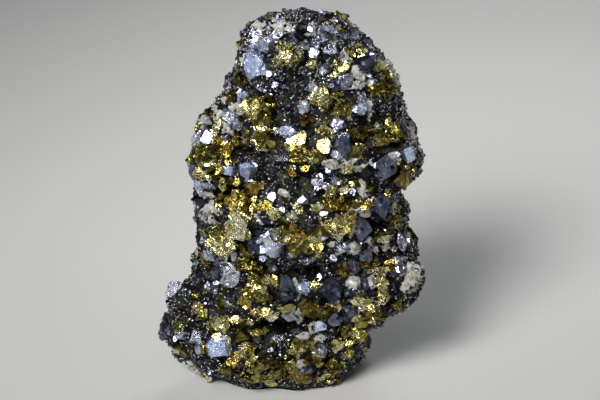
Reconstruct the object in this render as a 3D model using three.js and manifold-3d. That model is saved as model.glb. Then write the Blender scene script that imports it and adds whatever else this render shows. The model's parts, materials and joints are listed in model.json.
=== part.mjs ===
// A cabinet specimen of chalcopyrite with galena, sphalerite and quartz, grown together as one piece of ore.
// Units are millimetres and +Z is up. The origin is the middle of the box's underside, on the flat broken foot.
// The crystal-covered face looks along -Y; the back is rough broken rock.
import * as THREE from "three";
import { ConvexGeometry } from "three/addons/geometries/ConvexGeometry.js";
import { mergeVertices } from "three/addons/utils/BufferGeometryUtils.js";
import Module from "manifold-3d";

const wasm = await Module();
wasm.setup();

// ---- driving dimensions -------------------------------------------------------------------------------------

// The crystals on the face are placed as they are seen from in front and a little above: across the face, and
// up a showing plane that leans back by this much and starts at the front edge of the foot.
const LEAN = THREE.MathUtils.degToRad(20);
const FOOT_REACH = 24;

const CRUST = 1.6; // how far crystals stand out of the rock's sides and face
const BACK_CRUST = 0.8; // and out of its back
const ROUNDNESS = 2.4; // exponent of the superellipse that each level section follows
const SHOULDER = 98; // above this height the rock swells upwards too, and not only sideways

// Level sections, from the foot to the crown: height, left and right reach, reach of the face and of the back.
const SECTIONS = [
  [0, -32, 20.5, 24, 18],
  [5, -39.5, 24.5, 26.5, 20],
  [13, -43.5, 25.5, 27.5, 21.5],
  [19, -43, 31, 27.5, 22],
  [25, -42, 40, 27, 22],
  [29, -38, 44, 26.5, 22.5],
  [35, -34, 43.5, 26, 23],
  [47, -31.5, 37, 25, 23],
  [59, -32, 36, 24.5, 22],
  [68, -34.5, 40.5, 23.5, 21.5],
  [77, -34, 39.5, 22, 21],
  [85, -28, 35.5, 20.5, 20],
  [93, -21.5, 33, 19, 18.5],
  [101, -19.5, 29.5, 17, 16],
  [107, -18, 23.5, 15, 14],
  [111, -15.5, 18.5, 12.5, 12],
  [113.5, -9, 14, 9, 9],
];
const CROWN_RISE = 1.8; // how far the crown domes above the last section

// Swellings (plus) and hollows (minus) of the face: across, up, half width, half height, how far out or in.
// They fade in over this depth from the outline forwards.
const RELIEF_EDGE = 8;
const RELIEF = [
  [-13, 26, 11, 3, 3.2],
  [-24, 20, 6, 4, 1.8],
  [-8, 20.5, 8, 2.4, -4.5],
  [-12, 7, 10, 5, 1.8],
  [-24, 12, 6, 5, 1.6],
  [16, 23, 5, 3, -3.2],
  [25, 24, 7, 4, 2],
  [9, 37, 8, 2.6, -3.6],
  [19, 32, 7, 4, 2.2],
  [24.5, 51.5, 6, 3, -4.2],
  [24, 44, 4, 2.4, -3],
  [28, 57, 5, 4, 2.6],
  [12, 52, 7, 4, 2],
  [-19, 53, 8, 5, 2.6],
  [-24, 45, 6, 5, 2.4],
  [-7.5, 44, 7, 6, 2.6],
  [-17, 62.5, 7, 2.4, -3],
  [9, 67, 8, 2.2, -3.4],
  [18, 71.5, 7, 3, 3],
  [3, 75, 8, 4, 2.2],
  [22, 76.5, 5, 3, -2.6],
  [-13, 88, 6, 5, 2],
  [-28, 72, 6, 6, 1.6],
  [28, 98, 5, 4, -2],
  [-3, 105, 6, 4, 1.6],
  [-24, 96, 4, 4, -1.4],
  [8, 118, 6, 4, 1.4],
  [-15, 116, 5, 4, -1.6],
  [-24, 1, 8, 3, -3],
];

// Long waves of the whole surface: wavelength, height, and the phase of each direction. They wander sideways by
// WANDER radians as they climb, and run aslant by the shares in SLANT.
const WANDER = 1.3;
const SLANT = [0.7, -0.5, 0.6];
const WAVES = [
  [23, 1.0, 0.4, 1.7, 2.9],
  [13, 0.6, 2.1, 0.3, 1.2],
  [7.5, 0.35, 1.1, 2.6, 0.2],
];

// Flat breaks of the back: heading round from the back towards +X and rise, both in degrees, and the reach from
// the core.
const CORE = new THREE.Vector3(2, 0, 55);
const BREAKS = [
  [4, 6, 17.5],
  [-38, -10, 22],
  [36, 4, 24],
  [10, 38, 43],
  [-30, 34, 42],
  [50, 32, 42],
  [-12, -34, 40],
  [34, -30, 41],
  [-68, 8, 31],
  [76, -14, 36],
];

// The larger crystals of the face: across, up and radius. A last value of 1 turns one of a crystal's own faces
// forwards.
const CHALCOPYRITE = [
  [-3, 105.5, 4.4, 0], [15.5, 101, 2.2, 1], [27, 101.5, 2.2, 0], [28, 96, 3.8, 0],
  [7.5, 91.5, 2.8, 0], [15.5, 88, 2.6, 0], [10, 82, 2.2, 1], [-1, 78, 2.8, 1],
  [9, 76.5, 2.4, 1], [20, 75, 3.8, 0], [25, 80.5, 4, 0], [-20.5, 94, 2.4, 0],
  [-13, 88, 3.8, 0], [-9.5, 84.5, 2.8, 0], [-24.5, 81.5, 2.4, 0], [-17, 79, 2.2, 0],
  [-29.5, 73, 4, 0], [-28, 67, 2.4, 1], [-7.5, 75, 3.2, 0], [3.5, 72.5, 4, 0],
  [16.5, 68.5, 2, 1], [35, 67, 2.4, 0], [-19, 58, 3.2, 0], [-6, 55.5, 2.2, 0],
  [-19, 52.5, 4, 1], [-24, 45.5, 3.8, 0], [3, 45.5, 3.2, 0], [7.5, 44.5, 2.2, 1],
  [12, 51.5, 3.8, 0], [18, 53, 2.4, 0], [28.5, 48, 2.2, 0], [25, 39.5, 2.8, 0],
  [-12, 38, 3.8, 0], [-8.5, 34, 3, 1], [-10.5, 24.5, 2.8, 1], [-17, 21.5, 2.4, 0],
  [-23.5, 20.5, 2.4, 1], [-4, 25.5, 2.6, 0], [6, 26, 2.8, 0], [20, 26.5, 3.2, 0],
  [25.5, 24.5, 3.2, 0], [17, 15.5, 2.4, 1], [-7.5, 3, 3.4, 0], [-14.5, 6, 3.4, 0],
  [2, 11, 3.4, 0], [32.5, 80, 2.2, 0], [11.5, 59.5, 2.2, 0], [27, 31.5, 2.2, 0],
  [21.5, 14.5, 2.2, 0],
];
const GALENA = [
  [-14.5, 101.5, 3, 1], [23, 104, 2.2, 0], [-1.5, 81, 2.2, 0], [14, 76, 2.8, 0],
  [-17, 92.5, 2.4, 1], [-29.5, 79.5, 2.4, 1], [-15.5, 69, 3.2, 1], [29, 68.5, 2.8, 0],
  [-29.5, 64, 2.2, 1], [1.5, 59, 2, 1], [-7.5, 44, 4.4, 0], [-8, 56, 2.2, 0],
  [28, 56, 3, 0], [21, 50.5, 2.8, 0], [13, 44, 2.6, 1], [34, 41, 2.2, 0],
  [-2, 29.5, 2.4, 0], [3.5, 32, 2, 0], [11.5, 32.5, 3, 1], [-38.5, 31.5, 2.4, 0],
  [-24, 13, 3, 1], [13.5, 23, 2.4, 0], [9, 12.5, 2.4, 0], [-22.5, 36, 3.4, 0],
  [-28.5, 17.5, 2.2, 0], [10.5, 116, 2.4, 0], [17.5, 112, 2.4, 0], [-9.5, 109.5, 2.2, 0],
  [-28.5, 51, 2.2, 0], [-2.5, 49.5, 2.2, 0], [7, 38, 2.2, 0], [32.5, 28.5, 2.2, 0],
  [-28.5, 9, 2.2, 0],
];
const QUARTZ = [
  [-4, 114.5, 2.8, 0], [-11, 114, 2.2, 0], [5.5, 117, 2.2, 0], [19.5, 99.5, 2, 0],
  [-21, 88, 2.4, 0], [18.5, 71, 3.2, 0], [-28, 56.5, 2.4, 0], [22.5, 55.5, 2, 0],
  [19.5, 44.5, 2, 0], [24.5, 44.5, 2.4, 0], [37, 35.5, 3.2, 0], [19, 33.5, 3.2, 0],
  [24, 34.5, 2.4, 0], [0, 24, 2.4, 0], [7, 20.5, 2.4, 0], [2, 17, 2.6, 0],
];

const GLINT = new THREE.Vector3(-0.22, -0.86, 0.46).normalize(); // where the turned crystals show a face

// Steps of the rock's mesh round and up, and those of the steps up that lie in the crown and in the foot. The
// steps round are closer together by these shares where the section is wide, and on the face.
const STEPS_ROUND = 52;
const STEPS_UP = 44;
const CROWN_STEPS = 4;
const CROWN_SIDES = [1, 7, 15, 27]; // sides of the first rings, where a full round would be crowded
const FOOT_STEPS = 2;
const WIDE_SHARE = 0.2;
const FACE_SHARE = 0.15;

// The field of small crystals: how far tips and gaps rise, how far corners shift, and the share of that which
// is left on the back, where the outward direction has more +Y than BARE_BACK.
const TIP_RISE = [1.0, 2.6];
const GAP_RISE = [-0.6, 0.5];
const TIP_SHIFT = 0.8;
const BARE_BACK = 0.45;
const BACK_ROUGHNESS = 0.55;

// ---- numbers ------------------------------------------------------------------------------------------------

// A repeatable number from 0 to 1 for a count and a use.
function chance(count, use) {
  const value = Math.sin(count * 12.9898 + use * 78.233) * 43758.5453;
  return value - Math.floor(value);
}

function between(low, high, share) {
  return low + (high - low) * share;
}

function smoothStep(share) {
  const t = Math.min(Math.max(share, 0), 1);
  return t * t * (3 - 2 * t);
}

// One column of SECTIONS at a height, on a smooth cubic whose slope at each row is the one between the rows
// before and after it.
function sectionValue(column, height) {
  const last = SECTIONS.length - 1;
  const z = Math.min(Math.max(height, SECTIONS[0][0]), SECTIONS[last][0]);
  let i = 0;
  while (i < last - 1 && z > SECTIONS[i + 1][0]) i += 1;
  const slope = (k) => {
    const [a, b] = [Math.max(k - 1, 0), Math.min(k + 1, last)];
    return (SECTIONS[b][column] - SECTIONS[a][column]) / (SECTIONS[b][0] - SECTIONS[a][0]);
  };
  const step = SECTIONS[i + 1][0] - SECTIONS[i][0];
  const t = (z - SECTIONS[i][0]) / step;
  const [p, q] = [SECTIONS[i][column], SECTIONS[i + 1][column]];
  return (
    p * (1 + 2 * t) * (1 - t) ** 2 +
    q * t * t * (3 - 2 * t) +
    step * (slope(i) * t * (1 - t) ** 2 - slope(i + 1) * t * t * (1 - t))
  );
}

// ---- the rock's surface -------------------------------------------------------------------------------------

// The middle, half width and reach to the front and to the back of the rock's section at a height.
function reach(height) {
  const [left, right, front, back] = [1, 2, 3, 4].map((column) => sectionValue(column, height));
  return {
    middle: (left + right) / 2,
    half: (right - left) / 2 - CRUST,
    front: front - CRUST,
    back: back - BACK_CRUST,
  };
}

// How far the face swells or sinks at a point, and the long waves of the whole surface.
function relief(point) {
  const up = point.z * Math.cos(LEAN) + (point.y + FOOT_REACH) * Math.sin(LEAN);
  const fade = smoothStep(-point.y / RELIEF_EDGE);
  let out = 0;
  for (const [across, level, width, tall, amount] of RELIEF) {
    out += fade * amount * Math.exp(-(((point.x - across) / width) ** 2) - ((up - level) / tall) ** 2);
  }
  for (const [length, amount, a, b, c] of WAVES) {
    const [x, y, z] = [point.x, point.y, point.z].map((value) => (2 * Math.PI * value) / length);
    const across = Math.sin(x + a + WANDER * Math.sin(SLANT[2] * z)) * Math.sin(z + b);
    const through = Math.sin(y + c) * Math.cos(SLANT[0] * x + SLANT[1] * z);
    out += amount * (across + through);
  }
  return out;
}

// The direction out of the rock at a point: level on the flanks, and turning upwards over the crown.
function outward(point, middle) {
  const core = new THREE.Vector3(middle, 0, Math.min(point.z, SHOULDER));
  const away = point.clone().sub(core);
  return away.lengthSq() > 1e-6 ? away.normalize() : new THREE.Vector3(0, 0, 1);
}

// A point of the rock's surface. Turn is the angle in the section, from +X through the face. A scale below 1
// leads in from the rim of the foot or of the crown to its middle.
function skin(turn, height, scale = 1) {
  const { middle, half, front, back } = reach(height);
  const bend = (value) => Math.sign(value) * Math.abs(value) ** (2 / ROUNDNESS);
  const [across, towards] = [bend(Math.cos(turn)), bend(Math.sin(turn))];
  const point = new THREE.Vector3(
    middle + scale * half * across,
    -scale * (towards > 0 ? front : back) * towards,
    height > 0 ? height + CROWN_RISE * (1 - scale * scale) : 0,
  );
  const out = outward(point, middle);
  if (height > 0 || scale === 1) point.addScaledVector(out, relief(point));
  for (const [heading, rise, distance] of BREAKS) {
    const [h, r] = [THREE.MathUtils.degToRad(heading), THREE.MathUtils.degToRad(rise)];
    const normal = new THREE.Vector3(Math.sin(h) * Math.cos(r), Math.cos(h) * Math.cos(r), Math.sin(r));
    const beyond = normal.dot(point.clone().sub(CORE)) - distance;
    if (beyond > 0) point.addScaledVector(normal, -beyond);
  }
  point.z = Math.max(point.z, 0);
  return { point, out };
}

// The spot of the face that is seen at a place across and up the showing plane. The height depends on how far
// forward the spot lies, so both are found together in a few damped passes, from the foot's edge.
function onFace(across, up) {
  const passes = 12;
  const damping = 0.6;
  const rim = 0.995; // no spot lies further out than this share of the half width
  let spot;
  let y = -FOOT_REACH;
  for (let pass = 0; pass < passes; pass += 1) {
    const rise = (up - (y + FOOT_REACH) * Math.sin(LEAN)) / Math.cos(LEAN);
    const height = THREE.MathUtils.clamp(rise, 0, SECTIONS.at(-1)[0]);
    const { middle, half } = reach(height);
    const share = THREE.MathUtils.clamp((across - middle) / half, -rim, rim);
    spot = skin(Math.acos(Math.sign(share) * Math.abs(share) ** (ROUNDNESS / 2)), height);
    y += damping * (spot.point.y - y);
  }
  return spot;
}

// ---- solids -------------------------------------------------------------------------------------------------

// A closed geometry as a manifold solid: only positions are kept, shared corners are merged, and a triangle
// that this leaves with fewer than three corners goes.
function solidOf(geometry) {
  const bare = new THREE.BufferGeometry().setAttribute("position", geometry.getAttribute("position"));
  if (geometry.index) bare.setIndex(geometry.index);
  const merged = mergeVertices(bare, 1e-4);
  const corners = merged.index.array;
  const triangles = [];
  for (let i = 0; i < corners.length; i += 3) {
    const [a, b, c] = corners.slice(i, i + 3);
    if (a !== b && b !== c && c !== a) triangles.push(a, b, c);
  }
  return new wasm.Manifold(
    new wasm.Mesh({
      numProp: 3,
      vertProperties: merged.getAttribute("position").array,
      triVerts: new Uint32Array(triangles),
    }),
  );
}

// The rock: a sphere whose rings become the crown, the level sections and the foot. Every other corner of every
// other ring is a crystal's tip, so the surface is a field of low uneven pyramids. On the back they are only chips.
function rock() {
  const sphere = new THREE.SphereGeometry(1, STEPS_ROUND, STEPS_UP);
  const position = sphere.getAttribute("position");
  const flankSteps = STEPS_UP - CROWN_STEPS - FOOT_STEPS;
  for (let i = 0; i < position.count; i += 1) {
    const ring = Math.round((Math.acos(THREE.MathUtils.clamp(position.getY(i), -1, 1)) / Math.PI) * STEPS_UP);
    const sides = CROWN_SIDES[ring] ?? STEPS_ROUND;
    const round = (Math.atan2(position.getZ(i), position.getX(i)) / (2 * Math.PI) + 1) * sides;
    const side = Math.round(round) % sides;
    const even = (2 * Math.PI * side) / sides;
    const turn = even + 0.5 * WIDE_SHARE * Math.sin(2 * even) + FACE_SHARE * Math.cos(even);
    const down = THREE.MathUtils.clamp((ring - CROWN_STEPS) / flankSteps, 0, 1);
    const scale = Math.min(ring / CROWN_STEPS, (STEPS_UP - ring) / FOOT_STEPS, 1);
    const { point, out } = skin(turn, SECTIONS.at(-1)[0] * (1 - down), scale);
    if (down < 1) {
      const key = ring * STEPS_ROUND + side;
      const rough = scale * (out.y > BARE_BACK ? BACK_ROUGHNESS : 1);
      const isTip = ring % 2 === 0 && side % 2 === 0;
      const rise = isTip ? between(...TIP_RISE, chance(key, 0)) : between(...GAP_RISE, chance(key, 0));
      point.addScaledVector(out, rise * rough);
      point.x += between(-1, 1, chance(key, 1)) * TIP_SHIFT * rough;
      point.y += between(-1, 1, chance(key, 2)) * TIP_SHIFT * rough;
      point.z += between(-1, 1, chance(key, 3)) * TIP_SHIFT * rough;
    }
    position.setXYZ(i, point.x, point.y, Math.max(point.z, 0));
  }
  return solidOf(sphere);
}

// A convex crystal around the given corners, at unit radius.
function convex(corners) {
  const radius = Math.max(...corners.map((corner) => corner.length()));
  return new ConvexGeometry(corners.map((corner) => corner.divideScalar(radius)));
}

// Chalcopyrite's sphenoid: a tetrahedron with its four corners cut off a fifth of the way along each edge.
function sphenoid() {
  const cut = 0.2;
  const ends = [[1, 1, 1], [1, -1, -1], [-1, 1, -1], [-1, -1, 1]].map((end) => new THREE.Vector3(...end));
  const cornersAt = (end) => ends.filter((other) => other !== end).map((other) => end.clone().lerp(other, cut));
  return convex(ends.flatMap(cornersAt));
}

// Galena's cuboctahedron: a cube cut at its corners as far as the middles of its edges.
function cuboctahedron() {
  const signs = [[-1, -1], [-1, 1], [1, -1], [1, 1]];
  const middles = signs.flatMap(([a, b]) => [[a, b, 0], [a, 0, b], [0, a, b]]);
  return convex(middles.map((middle) => new THREE.Vector3(...middle)));
}

// Quartz: a short six-sided prism with a pointed end, its length measured in radii.
function prism() {
  const [foot, shoulder, tip] = [-0.9, 0.45, 1.25];
  const corners = [new THREE.Vector3(0, 0, tip)];
  for (let side = 0; side < 6; side += 1) {
    const angle = (side * Math.PI) / 3;
    for (const z of [foot, shoulder]) corners.push(new THREE.Vector3(Math.cos(angle), Math.sin(angle), z));
  }
  return convex(corners);
}

const HABITS = {
  chalcopyrite: { shape: sphenoid(), showing: new THREE.Vector3(-1, -1, -1).normalize(), sunk: 0.05 },
  galena: { shape: cuboctahedron(), showing: new THREE.Vector3(0, 0, 1), sunk: 0.05 },
  quartz: { shape: prism(), showing: new THREE.Vector3(0, 0, 1), sunk: 0.1 },
};

// One crystal on a spot: seated a little into the rock, and turned at random, outwards (as quartz points are),
// or with a face forwards. It is stretched unevenly by up to UNEVEN.
const UNEVEN = 0.15;
function crystal(mineral, spot, radius, turned, key) {
  const { shape, showing, sunk } = HABITS[mineral];
  const [a, b, c, about] = [4, 5, 6, 7].map((use) => 2 * Math.PI * chance(key, use));
  const spin = new THREE.Quaternion().setFromEuler(new THREE.Euler(a, b, c));
  if (turned || mineral === "quartz") {
    const aim = mineral === "quartz" ? spot.out : GLINT;
    spin.setFromUnitVectors(showing, aim).premultiply(new THREE.Quaternion().setFromAxisAngle(aim, about));
  }
  const stretch = [8, 9, 10].map((use) => radius * between(1 - UNEVEN, 1 + UNEVEN, chance(key, use)));
  const seat = spot.point.clone().addScaledVector(spot.out, -sunk * radius);
  const placed = new THREE.Matrix4().compose(seat, spin, new THREE.Vector3(...stretch));
  return solidOf(shape.clone().applyMatrix4(placed));
}

// The larger crystals of the face, from the three lists. Each list's keys start a hundred after the last one's.
function faceCrystals() {
  const lists = { chalcopyrite: CHALCOPYRITE, galena: GALENA, quartz: QUARTZ };
  return Object.entries(lists).flatMap(([mineral, list], group) =>
    list.map(([across, up, radius, turned], i) =>
      crystal(mineral, onFace(across, up), radius, turned, 100 * (group + 1) + i),
    ),
  );
}

// Everything grown together as one solid, cut off level at the foot, and moved so that the middle of its box's
// underside is the origin.
function specimen() {
  const room = 4 * SECTIONS.at(-1)[0];
  const aboveFoot = solidOf(new THREE.BoxGeometry(room, room, room).translate(0, 0, room / 2));
  const grown = [rock(), ...faceCrystals()].reduce((whole, piece) => whole.add(piece)).intersect(aboveFoot);
  const { vertProperties, triVerts } = grown.getMesh();
  const indexed = new THREE.BufferGeometry().setIndex(new THREE.BufferAttribute(triVerts, 1));
  indexed.setAttribute("position", new THREE.BufferAttribute(vertProperties, 3));
  const geometry = indexed.toNonIndexed();
  geometry.computeBoundingBox();
  const middle = geometry.boundingBox.getCenter(new THREE.Vector3());
  geometry.translate(-middle.x, -middle.y, 0);
  geometry.computeVertexNormals();
  return geometry;
}

const ore = new THREE.MeshStandardMaterial({
  name: "ore",
  color: new THREE.Color(0.42, 0.36, 0.2),
  roughness: 0.35,
  metalness: 0.75,
  flatShading: true,
});

const specimenMesh = new THREE.Mesh(specimen(), ore);
specimenMesh.name = "specimen";

const model = new THREE.Group();
model.name = "chalcopyrite";
model.add(specimenMesh);

export default model;
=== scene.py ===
"""A cabinet specimen of chalcopyrite with galena, sphalerite and quartz, dressed crystal by crystal.

The rock's skin is worked out by the same formula as the CAD solid's, and every crystal is seated on it.
Lengths are millimetres in the rock's own frame until a mesh is written, which moves them to the part's
frame, in metres.
"""

import itertools
import json
import math

import bpy
import numpy as np
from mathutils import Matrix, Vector

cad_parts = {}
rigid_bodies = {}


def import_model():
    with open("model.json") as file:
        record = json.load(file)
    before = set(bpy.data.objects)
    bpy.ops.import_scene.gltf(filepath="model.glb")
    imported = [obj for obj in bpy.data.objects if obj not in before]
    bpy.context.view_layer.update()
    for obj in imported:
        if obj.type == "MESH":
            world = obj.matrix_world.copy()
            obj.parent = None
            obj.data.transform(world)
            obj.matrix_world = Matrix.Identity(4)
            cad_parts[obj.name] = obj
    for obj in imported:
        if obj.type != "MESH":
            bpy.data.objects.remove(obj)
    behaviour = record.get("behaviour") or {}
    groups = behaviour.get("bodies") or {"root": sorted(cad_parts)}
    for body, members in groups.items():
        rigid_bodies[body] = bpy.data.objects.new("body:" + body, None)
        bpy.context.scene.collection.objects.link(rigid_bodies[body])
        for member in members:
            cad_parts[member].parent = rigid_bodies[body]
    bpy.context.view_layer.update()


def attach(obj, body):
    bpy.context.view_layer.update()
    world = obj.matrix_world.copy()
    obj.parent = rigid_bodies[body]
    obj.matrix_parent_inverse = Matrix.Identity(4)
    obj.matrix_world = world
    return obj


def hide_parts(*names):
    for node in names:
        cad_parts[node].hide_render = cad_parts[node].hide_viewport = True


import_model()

MM = 0.001
BOX_MIDDLE = np.array([-0.7904, -4.3235, 0.0])  # middle of the CAD box's underside, in the rock's own frame
draw = np.random.default_rng(23)

# ---- the rock's skin: the CAD solid's own dimensions ---------------------------------------------

LEAN = math.radians(20)  # the showing plane leans back by this, from the front edge of the foot
FOOT_REACH = 24.0
CRUST = 1.6
BACK_CRUST = 0.8
ROUNDNESS = 2.4
SHOULDER = 98.0
CROWN_RISE = 1.8
RELIEF_EDGE = 8.0

# Level sections: height, left and right reach, reach of the face and of the back.
SECTIONS = np.array([
    [0, -32, 20.5, 24, 18], [5, -39.5, 24.5, 26.5, 20], [13, -43.5, 25.5, 27.5, 21.5],
    [19, -43, 31, 27.5, 22], [25, -42, 40, 27, 22], [29, -38, 44, 26.5, 22.5],
    [35, -34, 43.5, 26, 23], [47, -31.5, 37, 25, 23], [59, -32, 36, 24.5, 22],
    [68, -34.5, 40.5, 23.5, 21.5], [77, -34, 39.5, 22, 21], [85, -28, 35.5, 20.5, 20],
    [93, -21.5, 33, 19, 18.5], [101, -19.5, 29.5, 17, 16], [107, -18, 23.5, 15, 14],
    [111, -15.5, 18.5, 12.5, 12], [113.5, -9, 14, 9, 9],
])
LEVELS = SECTIONS[:, 0]
TOP = LEVELS[-1]

# Swellings and hollows of the face: across, up, half width, half height, how far out or in.
RELIEF = [
    (-13, 26, 11, 3, 3.2), (-24, 20, 6, 4, 1.8), (-8, 20.5, 8, 2.4, -4.5), (-12, 7, 10, 5, 1.8),
    (-24, 12, 6, 5, 1.6), (16, 23, 5, 3, -3.2), (25, 24, 7, 4, 2), (9, 37, 8, 2.6, -3.6),
    (19, 32, 7, 4, 2.2), (24.5, 51.5, 6, 3, -4.2), (24, 44, 4, 2.4, -3), (28, 57, 5, 4, 2.6),
    (12, 52, 7, 4, 2), (-19, 53, 8, 5, 2.6), (-24, 45, 6, 5, 2.4), (-7.5, 44, 7, 6, 2.6),
    (-17, 62.5, 7, 2.4, -3), (9, 67, 8, 2.2, -3.4), (18, 71.5, 7, 3, 3), (3, 75, 8, 4, 2.2),
    (22, 76.5, 5, 3, -2.6), (-13, 88, 6, 5, 2), (-28, 72, 6, 6, 1.6), (28, 98, 5, 4, -2),
    (-3, 105, 6, 4, 1.6), (-24, 96, 4, 4, -1.4), (8, 118, 6, 4, 1.4), (-15, 116, 5, 4, -1.6),
    (-24, 1, 8, 3, -3),
]
WANDER = 1.3
SLANT = (0.7, -0.5, 0.6)
WAVES = [(23, 1.0, 0.4, 1.7, 2.9), (13, 0.6, 2.1, 0.3, 1.2), (7.5, 0.35, 1.1, 2.6, 0.2)]

# Flat breaks of the back: heading and rise in degrees, and reach from the core.
CORE = np.array([2.0, 0.0, 55.0])
BREAKS = [
    (4, 6, 17.5), (-38, -10, 22), (36, 4, 24), (10, 38, 43), (-30, 34, 42), (50, 32, 42),
    (-12, -34, 40), (34, -30, 41), (-68, 8, 31), (76, -14, 36),
]

# ---- where this skin leaves the CAD solid's ------------------------------------------------------

# Dips and rises of the crown: across, half width, how far up. They fade in above CROWN_EDGE.
CROWN_TRIM = [(3, 5, -2.0), (-7.5, 4, 0.8), (14, 4.5, 1.5)]
CROWN_EDGE, CROWN_FADE = 104.0, 8.0
# Swells and dents of the sides: left (-1) or right (1), up the showing plane, half height, how far out.
# They fade in beyond this share of the half width.
SIDE_TRIM = [
    (-1, 31.5, 3.2, 2.8), (-1, 19.5, 4, 2.0), (-1, 93.5, 2.2, -1.8), (-1, 86, 2.5, 1.8), (1, 35, 4, 2.0),
    (1, 62.3, 2.8, -2.2), (1, 84, 5, -1.5), (1, 73.4, 1.8, 1.6), (1, 23.4, 1.8, -3.0), (1, 7, 2.5, -2.0),
    (1, 108.5, 1.6, -1.6),
]
SIDE_EDGE, SIDE_FADE = 0.35, 0.6


def unit(vectors):
    """The same vectors at length 1."""
    return vectors / np.linalg.norm(vectors, axis=-1, keepdims=True)


def smooth_step(share):
    """0 below 0, 1 above 1, and 3t^2 - 2t^3 between."""
    t = np.clip(share, 0, 1)
    return t * t * (3 - 2 * t)


def bell(across, up, wide, tall):
    """A bell curve: 1 in the middle, and 1/e at a half width across or a half height up from it."""
    return np.exp(-((across / wide) ** 2) - (up / tall) ** 2)


def headed(heading, rise):
    """The direction of a heading (0 is straight back, + to the right) and a rise, both in degrees."""
    h, r = math.radians(heading), math.radians(rise)
    return np.array([math.sin(h) * math.cos(r), math.cos(h) * math.cos(r), math.sin(r)])


def reach(height):
    """Middle, half width, and reach to the front and the back of the section at each height: a cubic
    through the rows of SECTIONS, whose slope at a row is the slope from the row before it to the row
    after it."""
    z = np.clip(height, LEVELS[0], TOP)
    row = np.searchsorted(LEVELS[1:-1], z)
    last = len(LEVELS) - 1
    before, after = np.maximum(np.arange(last + 1) - 1, 0), np.minimum(np.arange(last + 1) + 1, last)
    slope = (SECTIONS[after] - SECTIONS[before]) / (LEVELS[after] - LEVELS[before])[:, None]
    step = (LEVELS[row + 1] - LEVELS[row])[..., None]
    t = (z - LEVELS[row])[..., None] / step
    value = (
        SECTIONS[row] * (1 + 2 * t) * (1 - t) ** 2
        + SECTIONS[row + 1] * t * t * (3 - 2 * t)
        + step * (slope[row] * t * (1 - t) ** 2 - slope[row + 1] * t * t * (1 - t))
    )
    left, right, front, back = np.moveaxis(value[..., 1:], -1, 0)
    return (left + right) / 2, (right - left) / 2 - CRUST, front - CRUST, back - BACK_CRUST


def seen_at(point):
    """Where points are seen on the showing plane: across, and up, from height and depth by its lean."""
    up = point[..., 2] * math.cos(LEAN) + (point[..., 1] + FOOT_REACH) * math.sin(LEAN)
    return point[..., 0], up


def relief(point):
    """How far the skin stands out: the swellings of RELIEF, each a bell curve on the showing plane that
    fades in from the outline forwards, and three long waves that wander sideways as they climb."""
    across, up = seen_at(point)
    fade = smooth_step(-point[..., 1] / RELIEF_EDGE)
    out = np.zeros(across.shape)
    for at, level, wide, tall, amount in RELIEF:
        out += fade * amount * bell(across - at, up - level, wide, tall)
    for length, amount, a, b, c in WAVES:
        x, y, z = np.moveaxis(2 * math.pi * point / length, -1, 0)
        sideways = np.sin(x + a + WANDER * np.sin(SLANT[2] * z)) * np.sin(z + b)
        out += amount * (sideways + np.sin(y + c) * np.cos(SLANT[0] * x + SLANT[1] * z))
    return out


def skin(turn, height, scale=1.0):
    """Points of the rock's skin and their outward directions. A level section is a superellipse round its
    middle; turn goes round it from +X through the face. A scale below 1 leads in from the rim of the
    crown or of the foot to its middle. The relief is added outwards, the flat breaks cut off what is
    beyond them, and the bell curves of the trims move the sides and the crown. Nothing is lower than the
    foot."""
    turn, height, scale = np.broadcast_arrays(*map(np.float64, (turn, height, scale)))
    middle, half, front, back = reach(height)
    across = np.sign(np.cos(turn)) * np.abs(np.cos(turn)) ** (2 / ROUNDNESS)
    towards = np.sign(np.sin(turn)) * np.abs(np.sin(turn)) ** (2 / ROUNDNESS)
    depth = np.where(towards > 0, front, back)
    dome = np.where(height > 0, height + CROWN_RISE * (1 - scale**2), 0)
    point = np.stack([middle + scale * half * across, -scale * depth * towards, dome], -1)
    inside = np.stack([middle, 0 * middle, np.minimum(point[..., 2], SHOULDER)], -1)
    out = unit(point - inside + 1e-6)
    lifted = (height > 0) | (scale == 1)
    point = point + out * (relief(point) * lifted)[..., None]
    for heading, rise, distance in BREAKS:
        normal = headed(heading, rise)
        beyond = np.maximum((point - CORE) @ normal - distance, 0)
        point = point - beyond[..., None] * normal
    up = seen_at(point)[1]
    for side, level, tall, rise in SIDE_TRIM:
        outer = smooth_step((side * (point[..., 0] - middle) / half - SIDE_EDGE) / SIDE_FADE)
        point[..., 0] += side * rise * outer * np.exp(-(((up - level) / tall) ** 2))
    high = smooth_step((point[..., 2] - CROWN_EDGE) / CROWN_FADE)
    for at, wide, rise in CROWN_TRIM:
        point[..., 2] += rise * high * np.exp(-(((point[..., 0] - at) / wide) ** 2))
    point[..., 2] = np.maximum(point[..., 2], 0)
    return point, out


TURN_STEP, HEIGHT_STEP, SCALE_STEP = 0.05, 1.5, 0.04  # radians round, millimetres up, share of the crown
OUTWARD = 0.5  # how much of the outward direction is in the way that crystals grow


def square_to(turn, height, scale=1.0):
    """The ways out of the skin that crystals grow in: mostly square to it, which is the cross product of
    a step round it and a step up it (or across the crown), and partly its outward direction."""
    out = skin(turn, height, scale)[1]
    turn, height, scale = np.broadcast_arrays(*map(np.float64, (turn, height, scale)))
    across = skin(turn + TURN_STEP, height, scale)[0] - skin(turn - TURN_STEP, height, scale)[0]
    crown = scale < 1
    high = np.where(crown, height, np.minimum(height + HEIGHT_STEP, TOP))
    low = np.where(crown, height, np.maximum(height - HEIGHT_STEP, 0))
    inner = np.where(crown, scale - SCALE_STEP, 1)
    outer = np.where(crown, np.minimum(scale + SCALE_STEP, 1), 1)
    upwards = skin(turn, high, inner)[0] - skin(turn, low, outer)[0]
    square = unit(np.cross(across, upwards) + 1e-9)
    square = square * np.sign((square * out).sum(-1, keepdims=True))
    return unit(square + OUTWARD * out)


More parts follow.
